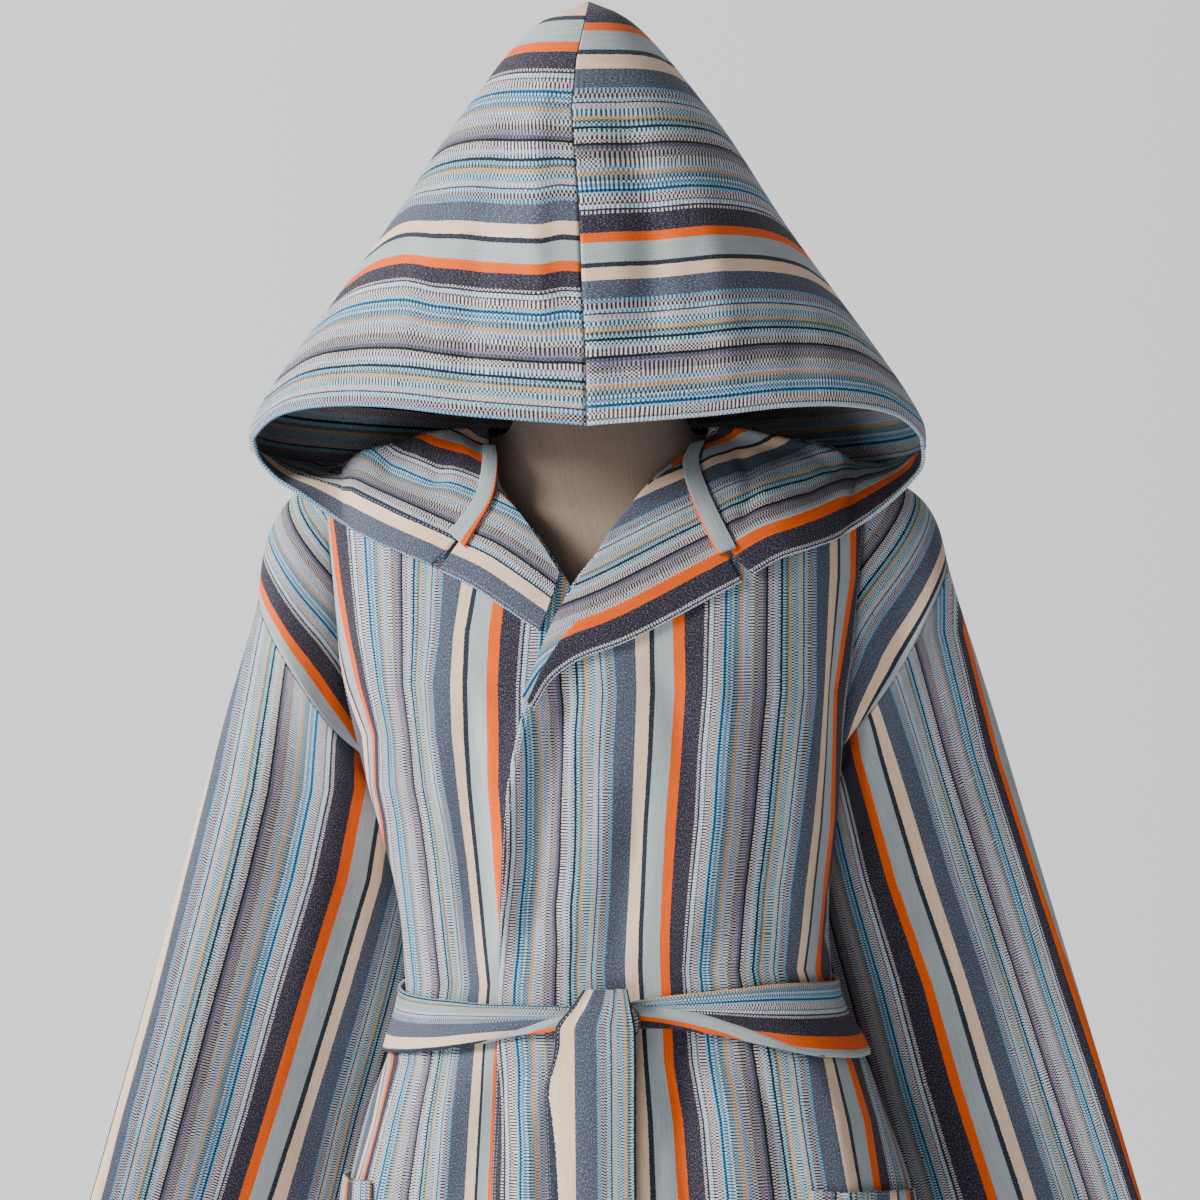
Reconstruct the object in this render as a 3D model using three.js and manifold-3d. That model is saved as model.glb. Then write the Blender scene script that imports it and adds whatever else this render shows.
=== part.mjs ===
// A hooded wrap bathrobe of striped flat-woven cotton, tied with its own belt and shown on a limbless
// dress form with a round-base stand.
// Millimetres, +Z up. The front faces -Y and the wearer's left is +X, so "right" pieces are at -X.
// The origin is on the floor, under the middle of the stand's base.
import * as THREE from "three";
import { mergeVertices } from "three/addons/utils/BufferGeometryUtils.js";
import Module from "manifold-3d";

const wasm = await Module();
wasm.setup();

// ---------------------------------------------------------------- driving dimensions
const CLOTH = 1.8; // thickness of one layer of cloth
const BELT_CLOTH = 3; // the belt is a flat tube of the same cloth
const SEAM = 0.4; // clearance between two sewn pieces
const LAYER = CLOTH + SEAM; // from one layer's middle to the next one's
const HEM_Z = 300; // the hem hangs at mid calf
const ARMPIT_Z = 1205;
const CHEST_Z = 1290; // above this the body rounds over to the shoulders
const SHOULDER_LEVEL = 1415; // section level that stands for the shoulder line itself
const SHOULDER_Y = 5; // the shoulder line lies a little behind the middle
const NECK_POINT = { x: 80, z: 1456 }; // where the shoulder line meets the neckline
const SHOULDER_SLOPE = 0.22;
const SQUARENESS = 0.05; // how far a body section is from an ellipse towards a rounded box
const BACK_NECK_DROP = 25; // section levels that the back neckline dips below the shoulder line
const FRONT_ROUND = 2.2; // how squarely the chest rounds over to the shoulder line
const BACK_ROUND = 3.2;
const UNDERLAP = 4.4; // how far the right front lies below the left one
const TUCK = 5; // how far a shoulder band starts below the edge that it is sewn to
const CROWN = 15; // how far a shoulder band swells over the point of the shoulder
const SIDE_SEAM_SHIFT = 20; // degrees that the wrap pulls the right side seam back
const POCKET_LIFT = 4;
const POCKET = { rightX: -160, leftX: 146, reach: 42, top: 920, bottom: 735, slope: 12 };
const BELT_LIFT = 4.6;
const BELT_START = -5; // section angles of the belt's start at the knot, and how far it turns
const BELT_TURN = 356.5;
const KNOT = { x: 8, z: 1036, lift: 16.7, halfWidth: 20, halfDepth: 8, halfHeight: 17 };
const FORM_DROP = 1.75; // the form's shoulders lie this far below the cloth's middle
const HOOD_X = -9; // the hood sits a little to the wearer's right
const HOOD_PEAK = { y: 18, z: 1777 };
const CORNER_ANGLE = 78.75; // where the hood's edge turns from the face edge into the lip
const CLEAR = 3.4; // how far loose cloth stays from the cloth that it lies over
const NECK_TOP = 1508;
const NECK = {
  y: -6,
  flatness: 0.86,
  top: NECK_TOP,
  rings: [
    { z: 1395, half: 76 },
    { z: 1440, half: 74 },
    { z: 1458, half: 67 },
    { z: 1478, half: 60 },
    { z: NECK_TOP, half: 57 },
  ],
}; // the form's neck
const HEAD = { x: -8, y: 11, z: 1620, halfWidth: 84, halfDepth: 101, halfHeight: 134 };
const POLE_RADIUS = 14;
const BASE = { radius: 215, height: 14 };

const rad = THREE.MathUtils.degToRad;
const lerp = THREE.MathUtils.lerp;
const clamp = THREE.MathUtils.clamp;
const smooth = (low, high, x) => THREE.MathUtils.smoothstep(x, Math.min(low, high), Math.max(low, high));
const V = (x, y, z) => new THREE.Vector3(x, y, z);

// ---------------------------------------------------------------- tables
// The levels of a body panel's rows: closer at the waist and over the shoulder.
const SKIRT_LEVELS = [HEM_Z, 400, 500, 600, 700, 790, 870, 935, 980, 1006];
const BODICE_LEVELS = [1033, 1062, 1100, 1150, ARMPIT_Z, 1225, 1258];
const YOKE_LEVELS = [1292, 1325, 1354, 1378, 1398, 1410, SHOULDER_LEVEL];
const ROW_LEVELS = [...SKIRT_LEVELS, ...BODICE_LEVELS, ...YOKE_LEVELS];

// The robe's horizontal sections, from hem to shoulder.
const BODY = [
  { z: 300, half: 268, centre: 10, front: 178, back: 176 },
  { z: 600, half: 240, centre: 14, front: 164, back: 168 },
  { z: 780, half: 222, centre: 18, front: 155, back: 160 },
  { z: 898, half: 207, centre: 22, front: 148, back: 155 },
  { z: 963, half: 188, centre: 19, front: 136, back: 143 },
  { z: 1003, half: 173, centre: 19, front: 125, back: 130 },
  { z: 1033, half: 158, centre: 15, front: 115, back: 118 },
  { z: 1065, half: 156, centre: 13, front: 115, back: 117 },
  { z: 1119, half: 158, centre: 10, front: 122, back: 119 },
  { z: 1191, half: 166, centre: 4, front: 131, back: 123 },
  { z: 1262, half: 177, centre: -2, front: 133, back: 125 },
  { z: 1334, half: 191, centre: -3, front: 129, back: 122 },
  { z: 1415, half: 207, centre: -3, front: 120, back: 115 },
];

// The dress form's own sections, well inside the robe except on the shoulders.
const FORM = [
  { z: 850, half: 146, centre: 4, front: 98, back: 106 },
  { z: 900, half: 160, centre: 4, front: 106, back: 114 },
  { z: 960, half: 150, centre: 4, front: 100, back: 106 },
  { z: 1040, half: 116, centre: 3, front: 84, back: 84 },
  { z: 1120, half: 128, centre: 1, front: 96, back: 92 },
  { z: 1200, half: 146, centre: 0, front: 110, back: 104 },
  { z: 1290, half: 160, centre: -2, front: 106, back: 104 },
  { z: 1415, half: 186, centre: -3, front: 92, back: 92 },
];

// Soft vertical folds of the body: where each one runs, how wide and how deep it is.
// angle 0 is the middle of the front, 90 the wearer's left side, 180 the middle of the back.
// lean turns a fold by that many degrees for each 100 mm that it rises.
const FOLDS = [
  { angle: -77, width: 10, depth: 6, low: 1150, high: 1420, lean: 1 },
  { angle: 76, width: 10, depth: 6, low: 1150, high: 1420, lean: -1 },
  { angle: -40, width: 6, depth: -5, low: 1075, high: 1290, lean: 4 },
  { angle: 40, width: 8, depth: -3, low: 1075, high: 1230, lean: -3 },
  { angle: -38, width: 6, depth: -7, low: 700, high: 1010, lean: 3 },
  { angle: -62, width: 11, depth: 9, low: 330, high: 985, lean: 1 },
  { angle: 10, width: 11, depth: 8, low: 320, high: 960, lean: 1 },
  { angle: 33, width: 9, depth: -9, low: 360, high: 1000, lean: -1 },
  { angle: 58, width: 12, depth: 10, low: 320, high: 960, lean: -2 },
  { angle: 84, width: 9, depth: -9, low: 320, high: 930, lean: 0 },
  { angle: -86, width: 9, depth: -9, low: 320, high: 930, lean: 0 },
  { angle: 110, width: 12, depth: 13, low: 310, high: 985, lean: 2 },
  { angle: 138, width: 11, depth: -13, low: 310, high: 1000, lean: 1 },
  { angle: 164, width: 12, depth: 15, low: 310, high: 985, lean: 0 },
  { angle: -170, width: 11, depth: -14, low: 310, high: 1005, lean: -1 },
  { angle: -146, width: 12, depth: 14, low: 310, high: 985, lean: -1 },
  { angle: -118, width: 11, depth: -12, low: 310, high: 990, lean: -2 },
  { angle: 150, width: 9, depth: -5, low: 1070, high: 1260, lean: -2 },
  { angle: -155, width: 9, depth: -5, low: 1070, high: 1280, lean: 2 },
  { angle: 180, width: 12, depth: 4, low: 1070, high: 1300, lean: 0 },
];

// The opening edges of the fronts, from the hem to the neck point. The left front lies on top.
const EDGE_OVER = [
  { x: -74, z: 300 },
  { x: -75, z: 914 },
  { x: -71, z: 1061 },
  { x: -70, z: 1124 },
  { x: -66, z: 1194 },
  { x: -59, z: 1236 },
  { x: -49, z: 1272 },
  { x: -36, z: 1307 },
  { x: -20, z: 1344 },
  { x: 0, z: 1370 },
  { x: 31, z: 1413 },
  { x: 62, z: 1441 },
  { x: NECK_POINT.x, z: NECK_POINT.z },
];
const EDGE_UNDER = [
  { x: 55, z: 300 },
  { x: 55, z: 914 },
  { x: 55, z: 1061 },
  { x: 54, z: 1124 },
  { x: 48, z: 1194 },
  { x: 38, z: 1236 },
  { x: 24, z: 1272 },
  { x: 4, z: 1307 },
  { x: -20, z: 1344 },
  { x: -38, z: 1372 },
  { x: -56, z: 1396 },
  { x: -70, z: 1414 },
  { x: -NECK_POINT.x, z: NECK_POINT.z },
];

// Where the armhole runs on a front or back panel: section angle against level.
const ARMHOLE = [
  { level: ARMPIT_Z, angle: 89 },
  { level: 1225, angle: 83 },
  { level: 1250, angle: 79 },
  { level: 1292, angle: 76 },
  { level: 1350, angle: 73 },
  { level: 1415, angle: 71 },
];

// Sections of each sleeve, from the drop seam to the hem: the outer and inner edge of the flattened tube
// and half its thickness between them.
const SLEEVE_RIGHT = [
  { outer: [-250, 0, 1336], inner: [-179, 8, 1226], half: 58 },
  { outer: [-274, 6, 1250], inner: [-152, 80, 1142], half: 42 },
  { outer: [-313, 10, 1110], inner: [-138, 112, 1032], half: 36 },
  { outer: [-349, 14, 985], inner: [-160, 132, 912], half: 30 },
  { outer: [-388, 16, 850], inner: [-190, 134, 798], half: 25 },
];
const SLEEVE_LEFT = [
  { outer: [254, 0, 1364], inner: [186, 8, 1242], half: 58 },
  { outer: [283, 6, 1270], inner: [166, 80, 1156], half: 42 },
  { outer: [329, 10, 1120], inner: [161, 112, 1040], half: 36 },
  { outer: [371, 14, 985], inner: [188, 134, 912], half: 30 },
  { outer: [412, 16, 850], inner: [220, 138, 798], half: 25 },
];

// The hood's tent-like outer wall: half width, front and back of its horizontal rings.
const TENT = [
  { z: 1400, half: 238, front: -172, back: 96 },
  { z: 1455, half: 245, front: -172, back: 112 },
  { z: 1479, half: 235, front: -169, back: 118 },
  { z: 1515, half: 211, front: -163, back: 122 },
  { z: 1558, half: 180, front: -152, back: 122 },
  { z: 1609, half: 144, front: -134, back: 118 },
  { z: 1673, half: 104, front: -103, back: 107 },
  { z: 1706, half: 80, front: -77, back: 92 },
  { z: 1740, half: 53, front: -45, back: 70 },
  { z: 1765, half: 27, front: -14, back: 46 },
  { z: HOOD_PEAK.z, half: 0, front: HOOD_PEAK.y, back: HOOD_PEAK.y },
];
// The lower edge of the tent: the face edge as far as the corner, then the fold that lies on the shoulders.
const TENT_EDGE = [
  { angle: 0, z: 1454 },
  { angle: 20, z: 1461 },
  { angle: 35, z: 1468 },
  { angle: 50, z: 1470 },
  { angle: 65, z: 1465 },
  { angle: CORNER_ANGLE, z: 1450 },
  { angle: 100, z: 1442 },
  { angle: 130, z: 1436 },
  { angle: 180, z: 1428 },
];
// The lip: the hood's turned-out front edge, from the corner down to the neck seam.
const LIP_RIGHT = [
  { x: -246, y: -50, z: 1436 },
  { x: -234, y: -50, z: 1422 },
  { x: -217, y: -54, z: 1411 },
  { x: -188, y: -62, z: 1391 },
  { x: -165, y: -73, z: 1378 },
  { x: -146, y: -86, z: 1368 },
];
const LIP_LEFT = [
  { x: 233, y: -50, z: 1432 },
  { x: 221, y: -51, z: 1416 },
  { x: 197, y: -58, z: 1395 },
  { x: 171, y: -70, z: 1379 },
  { x: 146, y: -85, z: 1368 },
  { x: 124, y: -96, z: 1360 },
];
// The neck seam over the lapels, from the lip's lower end to the side of the neck.
const NECK_SEAM_RIGHT = [
  { x: -118, z: 1357 },
  { x: -102, z: 1373 },
  { x: -85, z: 1401 },
  { x: -79, z: 1424 },
  { x: -80, z: 1444 },
];
const NECK_SEAM_LEFT = [
  { x: 107, z: 1351 },
  { x: 95, z: 1363 },
  { x: 79, z: 1391 },
  { x: 70, z: 1420 },
  { x: 76, z: 1444 },
];
// The back of the neck seam, the same on both sides: it ends at the middle of the back.
const NECK_BACK = [
  { x: 81, y: 5, z: 1461 },
  { x: 68, y: 40, z: 1461 },
  { x: 38, y: 60, z: 1460 },
  { x: 0, y: 66, z: 1460 },
];
// Each lapel lies between its outer edge and the roll line, read from the neck seam down to the V.
const LAPEL_RIGHT = {
  outer: [
    { x: -113, z: 1354 },
    { x: -90, z: 1343 },
    { x: -64, z: 1326 },
    { x: -42, z: 1311 },
  ],
  inner: [
    { x: -72, z: 1410 },
    { x: -58, z: 1396 },
    { x: -42, z: 1374 },
    { x: -28, z: 1352 },
  ],
};
const LAPEL_LEFT = {
  outer: [
    { x: 99, z: 1346 },
    { x: 80, z: 1336 },
    { x: 48, z: 1319 },
    { x: 17, z: 1304 },
    { x: -15, z: 1292 },
    { x: -34, z: 1279 },
    { x: -48, z: 1258 },
  ],
  inner: [
    { x: 58, z: 1430 },
    { x: 42, z: 1420 },
    { x: 12, z: 1388 },
    { x: -8, z: 1356 },
    { x: -28, z: 1328 },
    { x: -40, z: 1302 },
    { x: -54, z: 1266 },
  ],
};
// The pale tapes over the neck seam, read from the side of the neck down.
const TAPE_RIGHT = {
  outer: [
    { x: -83, z: 1441 },
    { x: -83, z: 1430 },
    { x: -87, z: 1406 },
    { x: -105, z: 1379 },
  ],
  inner: [
    { x: -75, z: 1440 },
    { x: -73, z: 1430 },
    { x: -75, z: 1405 },
    { x: -94, z: 1369 },
  ],
};
const TAPE_LEFT = {
  outer: [
    { x: 76, z: 1444 },
    { x: 71, z: 1430 },
    { x: 80, z: 1400 },
    { x: 95, z: 1369 },
  ],
  inner: [
    { x: 65, z: 1441 },
    { x: 59, z: 1428 },
    { x: 66, z: 1398 },
    { x: 82, z: 1364 },
  ],
};

// The belt from the knot round the wearer's right side and back to the knot.
const BELT = [
  { turn: 0, bottom: 1031, top: 1047 },
  { turn: 0.05, bottom: 1026, top: 1048 },
  { turn: 0.12, bottom: 1016, top: 1050 },
  { turn: 0.24, bottom: 1006, top: 1051 },
  { turn: 0.5, bottom: 1004, top: 1054 },
  { turn: 0.75, bottom: 1004, top: 1056 },
  { turn: 0.88, bottom: 1014, top: 1062 },
  { turn: 0.96, bottom: 1030, top: 1056 },
  { turn: 1, bottom: 1034, top: 1050 },
];
// The belt's free ends: how far each stands off the body as it hangs, and how it drifts sideways.
const BELT_END_TOP = [
  { z: 1061, lift: 13, width: 30, shift: 6 },
  { z: 1052, lift: 26, width: 38, shift: 4 },
  { z: 1032, lift: 27, width: 52, shift: 0 },
  { z: 1000, lift: 21, width: 54, shift: 0 },
  { z: 950, lift: 12, width: 54, shift: 0 },
  { z: 840, lift: 10.6, width: 54, shift: 1 },
  { z: 720, lift: 10.6, width: 54, shift: 2 },
  { z: 610, lift: 10.6, width: 54, shift: 4 },
];
const BELT_END_UNDER = [
  { z: 1017, lift: 8.5, width: 30, shift: 8 },
  { z: 990, lift: 7.5, width: 44, shift: 2 },
  { z: 900, lift: 5.5, width: 54, shift: -2 },
  { z: 760, lift: 5.5, width: 54, shift: -6 },
  { z: 640, lift: 5.5, width: 54, shift: -8 },
];

// ---------------------------------------------------------------- curves through tables
// The value of a named column at x, by a smooth curve through the table's rows.
function column(rows, name, x, key = "z") {
  const last = rows.length - 1;
  const above = rows.findIndex((row) => row[key] > x);
  const at = above < 0 ? last - 1 : Math.max(above - 1, 0);
  const slope = (a, b) => (rows[b][name] - rows[a][name]) / (rows[b][key] - rows[a][key]);
  const span = rows[at + 1][key] - rows[at][key];
  const t = clamp((x - rows[at][key]) / span, 0, 1);
  const m0 = slope(Math.max(at - 1, 0), at + 1) * span;
  const m1 = slope(at, Math.min(at + 2, last)) * span;
  const t2 = t * t;
  const t3 = t2 * t;
  return (
    (2 * t3 - 3 * t2 + 1) * rows[at][name] +
    (t3 - 2 * t2 + t) * m0 +
    (3 * t2 - 2 * t3) * rows[at + 1][name] +
    (t3 - t2) * m1
  );
}

// A smooth curve through points, read evenly along its length with t from 0 to 1.
function curve(points) {
  const line = new THREE.CatmullRomCurve3(points, false, "centripetal");
  line.arcLengthDivisions = 60;
  return (t) => line.getPointAt(clamp(t, 0, 1));
}

// ---------------------------------------------------------------- the body's surface
const shoulderZ = (x) => NECK_POINT.z - SHOULDER_SLOPE * Math.max(0, Math.abs(x) - NECK_POINT.x);
const wrap = (angle) => THREE.MathUtils.euclideanModulo(angle + 180, 360) - 180;

function foldDepth(angle, level) {
  let sum = 0;
  for (const fold of FOLDS) {
    const away = wrap(angle - fold.angle - (fold.lean * (level - fold.low)) / 100);
    const bottom = fold.low < HEM_Z + 80 ? 1 : smooth(fold.low - 60, fold.low + 60, level);
    const top = 1 - smooth(fold.high - (fold.low < 500 ? 350 : 90), fold.high, level);
    sum += fold.depth * Math.exp(-((away / fold.width) ** 2)) * bottom * top;
  }
  return sum;
}

// A point of the middle of the cloth. angle is in degrees, level is a height or, above the chest, a way
// up to the shoulder line. sections is the table to follow and drop lowers the shoulder line.
function bodyPoint(turnAngle, level, sections = BODY, drop = 0) {
  const angle = wrap(turnAngle);
  const a = rad(angle);
  const half = column(sections, "half", level);
  const front = Math.abs(angle) <= 90;
  const depth = column(sections, front ? "front" : "back", level);
  const fold = sections === BODY ? foldDepth(angle, level) : 0;
  const box = 1 - SQUARENESS;
  const across = (Math.sin(a) + SQUARENESS * Math.sin(3 * a)) / box;
  const along = (Math.cos(a) - SQUARENESS * Math.cos(3 * a)) / box;
  const x = column(sections, "centre", level) + half * across + fold * Math.sin(a);
  const y = -depth * along - fold * Math.cos(a);
  if (level <= CHEST_Z) return V(x, y, level);
  const turn = rad((90 * (level - CHEST_Z)) / (SHOULDER_LEVEL - CHEST_Z));
  const power = 2 / (front ? FRONT_ROUND : BACK_ROUND);
  const rise = Math.sin(turn) ** power;
  const keep = Math.max(0, Math.cos(turn)) ** power;
  return V(x, lerp(SHOULDER_Y, y, keep), lerp(CHEST_Z, shoulderZ(x) - drop, rise));
}

function bodyNormal(angle, level, sections = BODY) {
  const top = Math.min(level, SHOULDER_LEVEL - 1);
  const across = bodyPoint(angle + 0.5, top, sections).sub(bodyPoint(angle - 0.5, top, sections));
  const up = bodyPoint(angle, top + 1, sections).sub(bodyPoint(angle, top - 1, sections));
  return across.cross(up).normalize();
}

// The same point moved out from the body by lift.
function bodyOut(angle, level, lift, sections = BODY) {
  const p = bodyPoint(angle, level, sections);
  return lift ? p.addScaledVector(bodyNormal(angle, level, sections), lift) : p;
}

// The section angle and level of the body's point at x and z, on its front or its back.
function bodyAt(x, z, front = true) {
  let level = z;
  if (z > CHEST_Z) {
    const rise = clamp((z - CHEST_Z) / (shoulderZ(x) - CHEST_Z), 0, 1);
    const turn = Math.asin(rise ** ((front ? FRONT_ROUND : BACK_ROUND) / 2));
    level = CHEST_Z + ((SHOULDER_LEVEL - CHEST_Z) * turn) / (Math.PI / 2);
  }
  let low = -90;
  let high = 90;
  for (let i = 0; i < 30; i++) {
    const middle = (low + high) / 2;
    if (bodyPoint(front ? middle : 180 - middle, level).x < x) low = middle;
    else high = middle;
  }
  return { angle: front ? low : wrap(180 - low), level };
}

const onFront = (x, z, lift) => {
  const at = bodyAt(x, z);
  return bodyOut(at.angle, at.level, lift);
};

// Moves a point of loose cloth out until it is that far from the body below it.
function clearOfBody(p, clearance) {
  const reach = column(BODY, "half", Math.min(p.z, SHOULDER_LEVEL)) - 8;
  if (Math.abs(p.x) > reach) return p;
  for (let i = 0; i < 3; i++) {
    const top = shoulderZ(p.x);
    if (p.z > top - 1 || Math.abs(p.y - SHOULDER_Y) < 2) {
      p.z = Math.max(p.z, top + clearance);
      return p;
    }
    const at = bodyAt(p.x, p.z, p.y < SHOULDER_Y);
    const normal = bodyNormal(at.angle, at.level);
    const away = p.clone().sub(bodyPoint(at.angle, at.level)).dot(normal);
    if (away >= clearance) return p;
    p.addScaledVector(normal, clearance - away);
  }
  return p;
}

// ---------------------------------------------------------------- walls of cloth
// Collects the triangles of a piece's middle surface; points that meet become one.
class Surface {
  constructor() {
    this.points = [];
    this.faces = [];
    this.known = new Map();
  }

  point(p) {
    const key = [p.x, p.y, p.z].map((value) => Math.round(value * 200)).join();
    if (!this.known.has(key)) {
      this.known.set(key, this.points.length);
      this.points.push(p.clone());
    }
    return this.known.get(key);
  }

  // at(u, v) is a point, with u and v from 0 to 1.
  patch(columns, rows, at) {
    const index = [];
    for (let j = 0; j <= rows; j++) {
      index.push([]);
      for (let i = 0; i <= columns; i++) index[j].push(this.point(at(i / columns, j / rows)));
    }
    for (let j = 0; j < rows; j++) {
      for (let i = 0; i < columns; i++) {
        this.face(index[j][i], index[j][i + 1], index[j + 1][i + 1]);
        this.face(index[j][i], index[j + 1][i + 1], index[j + 1][i]);
      }
    }
    return this;
  }

  face(a, b, c) {
    if (a !== b && b !== c && c !== a) this.faces.push([a, b, c]);
  }

  normals() {
    const found = this.points.map(() => V(0, 0, 0));
    for (const [a, b, c] of this.faces) {
      const p = this.points;
      const n = p[b].clone().sub(p[a]).cross(p[c].clone().sub(p[a]));
      for (const i of [a, b, c]) found[i].add(n);
    }
    return found.map((n) => n.normalize());
  }

  // The closed wall of that thickness about the surface. adjust(point, normal) may turn a normal.
  wall(thickness, adjust = (p, n) => n) {
    const normals = this.normals().map((n, i) => adjust(this.points[i], n));
    const count = this.points.length;
    const side = (reach) => this.points.map((p, i) => p.clone().addScaledVector(normals[i], reach));
    const index = [];
    const open = new Map();
    for (const [a, b, c] of this.faces) {
      index.push(a, b, c, count + a, count + c, count + b);
      for (const [s, e] of [[a, b], [b, c], [c, a]]) {
        if (open.has(e + "," + s)) open.delete(e + "," + s);
        else open.set(s + "," + e, [s, e]);
      }
    }
    for (const [s, e] of open.values()) index.push(e, s, count + s, e, count + s, count + e);
    return closedGeometry([...side(thickness / 2), ...side(-thickness / 2)], index);
  }

  // The surface itself as a solid, where it is closed.
  solid() {
    return closedGeometry(this.points, this.faces.flat());
  }
}

function closedGeometry(points, index) {
  let volume = 0;
  for (let i = 0; i < index.length; i += 3) {
    volume += points[index[i]].dot(points[index[i + 1]].clone().cross(points[index[i + 2]]));
  }
  for (let i = 0; volume < 0 && i < index.length; i += 3) {
    [index[i], index[i + 1]] = [index[i + 1], index[i]];
  }
  const geometry = new THREE.BufferGeometry();
  geometry.setAttribute("position", new THREE.Float32BufferAttribute(points.flatMap((p) => p.toArray()), 3));
  geometry.setIndex(index);
  return geometry;
}

// A Coons patch: start(v) and end(v) are its sides, low(u) and high(u) its ends.
function coons(start, end, low, high) {
  const corner = [start(0), end(0), start(1), end(1)];
  return (u, v) => {
    const p = V(0, 0, 0);
    p.addScaledVector(start(v), 1 - u).addScaledVector(end(v), u);
    p.addScaledVector(low(u), 1 - v).addScaledVector(high(u), v);
    p.addScaledVector(corner[0], -(1 - u) * (1 - v)).addScaledVector(corner[1], -u * (1 - v));
    return p.addScaledVector(corner[2], -(1 - u) * v).addScaledVector(corner[3], -u * v);
  };
}

// ---------------------------------------------------------------- materials
const paint = (color, roughness) => new THREE.MeshStandardMaterial({ color, roughness, metalness: 0 });
const PAINT = {
  body: paint(0x77808c, 0.9),
  sleeve: paint(0x6c7480, 0.9),
  hood: paint(0x7f8b97, 0.9),
  band: paint(0x4a4c56, 0.9),
  tape: paint(0xb9c3c6, 0.9),
  belt: paint(0x8796a3, 0.9),
  form: paint(0x8d8073, 0.85),
  stand: paint(0x3a3a3c, 0.45),
};

const robe = new THREE.Group();
function add(name, geometry, material) {
  const mesh = new THREE.Mesh(geometry, material);
  mesh.name = name;
  robe.add(mesh);
}

// ---------------------------------------------------------------- body panels
// Where a panel ends at the side: the armhole, or the side seam below it, which the wrap pulls round.
function sideAngle(side, level, onBack = false) {
  if (level <= ARMPIT_Z) return 90 + (side < 0 ? SIDE_SEAM_SHIFT * (1 - smooth(950, 1190, level)) : 0);
  const edge = column(ARMHOLE, "angle", level, "level");
  return onBack ? 180 - edge : edge;
}
const BODY_ROWS = ROW_LEVELS.length - 1;
const rowLevel = (v) => ROW_LEVELS[Math.round(v * BODY_ROWS)];

// side is -1 for the wearer's right front and 1 for the left one.
function frontPanel(side, edge, liftAt) {
  const start = CHEST_Z - 18;
  const line = curve(edge.filter((row) => row.z >= start).map((row) => V(row.x, 0, row.z)));
  return (u, v) => {
    const level = rowLevel(v);
    const way = (level - start) / (SHOULDER_LEVEL - start);
    const at = way < 0 ? { x: column(edge, "x", level), z: level } : line(way);
    const inner = bodyAt(at.x, at.z);
    const outer = side * (sideAngle(side, level) - 0.1);
    const angle = lerp(inner.angle, outer, u);
    const own = lerp(inner.level, level, u);
    return bodyOut(angle, own, liftAt(angle, own));
  };
}

// The right front lies under the left one where they overlap.
const underLift = (angle, level) => -UNDERLAP * smooth(-62, -40, angle) * (1 - smooth(1308, 1334, level));
const cloth = (columns, rows, at, adjust) => new Surface().patch(columns, rows, at).wall(CLOTH, adjust);
add("front_right", cloth(12, BODY_ROWS, frontPanel(-1, EDGE_UNDER, underLift)), PAINT.body);
add("front_left", cloth(12, BODY_ROWS, frontPanel(1, EDGE_OVER, () => 0)), PAINT.body);

function backPoint(u, v) {
  const level = rowLevel(v);
  const start = sideAngle(1, level, true) + 0.25;
  const end = 360 - sideAngle(-1, level, true) - 0.25;
  const angle = lerp(start, end, u);
  const inside = Math.max(0, 1 - (bodyPoint(angle, level).x / NECK_POINT.x) ** 2);
  const top = SHOULDER_LEVEL - 0.3 - BACK_NECK_DROP * Math.sqrt(inside);
  const low = 1372;
  const own = level <= low ? level : lerp(low, top, (level - low) / (SHOULDER_LEVEL - low));
  const p = bodyPoint(angle, own);
  if (level > CHEST_Z) p.y = Math.max(p.y, SHOULDER_Y + SEAM);
  return p;
}
add("back", cloth(24, BODY_ROWS, backPoint), PAINT.body);

// ---------------------------------------------------------------- pockets
function pocket(side) {
  return (u, v) => {
    const z = lerp(POCKET.bottom, POCKET.top, v);
    const start = bodyAt(side < 0 ? POCKET.rightX : POCKET.leftX, z).angle;
    return bodyOut(start + side * POCKET.reach * u, z - POCKET.slope * u, POCKET_LIFT);
  };
}
add("pocket_right", cloth(5, 4, pocket(-1)), PAINT.body);
add("pocket_left", cloth(5, 4, pocket(1)), PAINT.body);

// ---------------------------------------------------------------- shoulder bands and sleeves
const RING = 22; // points round a sleeve

// The armhole as a loop: t 0 is the shoulder tip, 0.5 the armpit, and the front comes first.
function armholePoint(side, t, beyond, lift) {
  const bottom = ARMPIT_Z + 1.6 * beyond;
  const front = t <= 0.5;
  const fall = front ? t * 2 : 2 - t * 2;
  const level = lerp(SHOULDER_LEVEL, bottom, (1 - Math.cos(Math.PI * fall)) / 2);
  const edge = Math.min(89, sideAngle(1, Math.max(level, ARMPIT_Z + 0.1)) + beyond);
  return bodyOut(side * (front ? edge : 180 - edge), level, lift);
}

// A section of a sleeve's flattened tube: s is 0 at the drop seam and 1 at the sleeve's hem.
function sleeveRing(table, side, s) {
  const at = (row, name) => V(...table[row][name]);
  const way = s * (table.length - 1);
  const along = (name) => curve(table.map((row, i) => at(i, name)));
  const outer = along("outer")(s);
  const inner = along("inner")(s);
  const half = column(table.map((row, k) => ({ k, half: row.half })), "half", way, "k");
  const reach = outer.clone().sub(inner).multiplyScalar(0.5);
  const middle = outer.clone().add(inner).multiplyScalar(0.5);
  const front = reach.clone().cross(V(side * 0.27, 0.12, -0.95)).normalize().multiplyScalar(side * half);
  if (front.y > 0) front.negate();
  const axis = reach.clone().cross(front).normalize();
  if (axis.z > 0) axis.negate();
  const point = (t) => {
    const a = 2 * Math.PI * t;
    return middle.clone().addScaledVector(reach, Math.cos(a)).addScaledVector(front, Math.sin(a));
  };
  return { point, axis };
}

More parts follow.
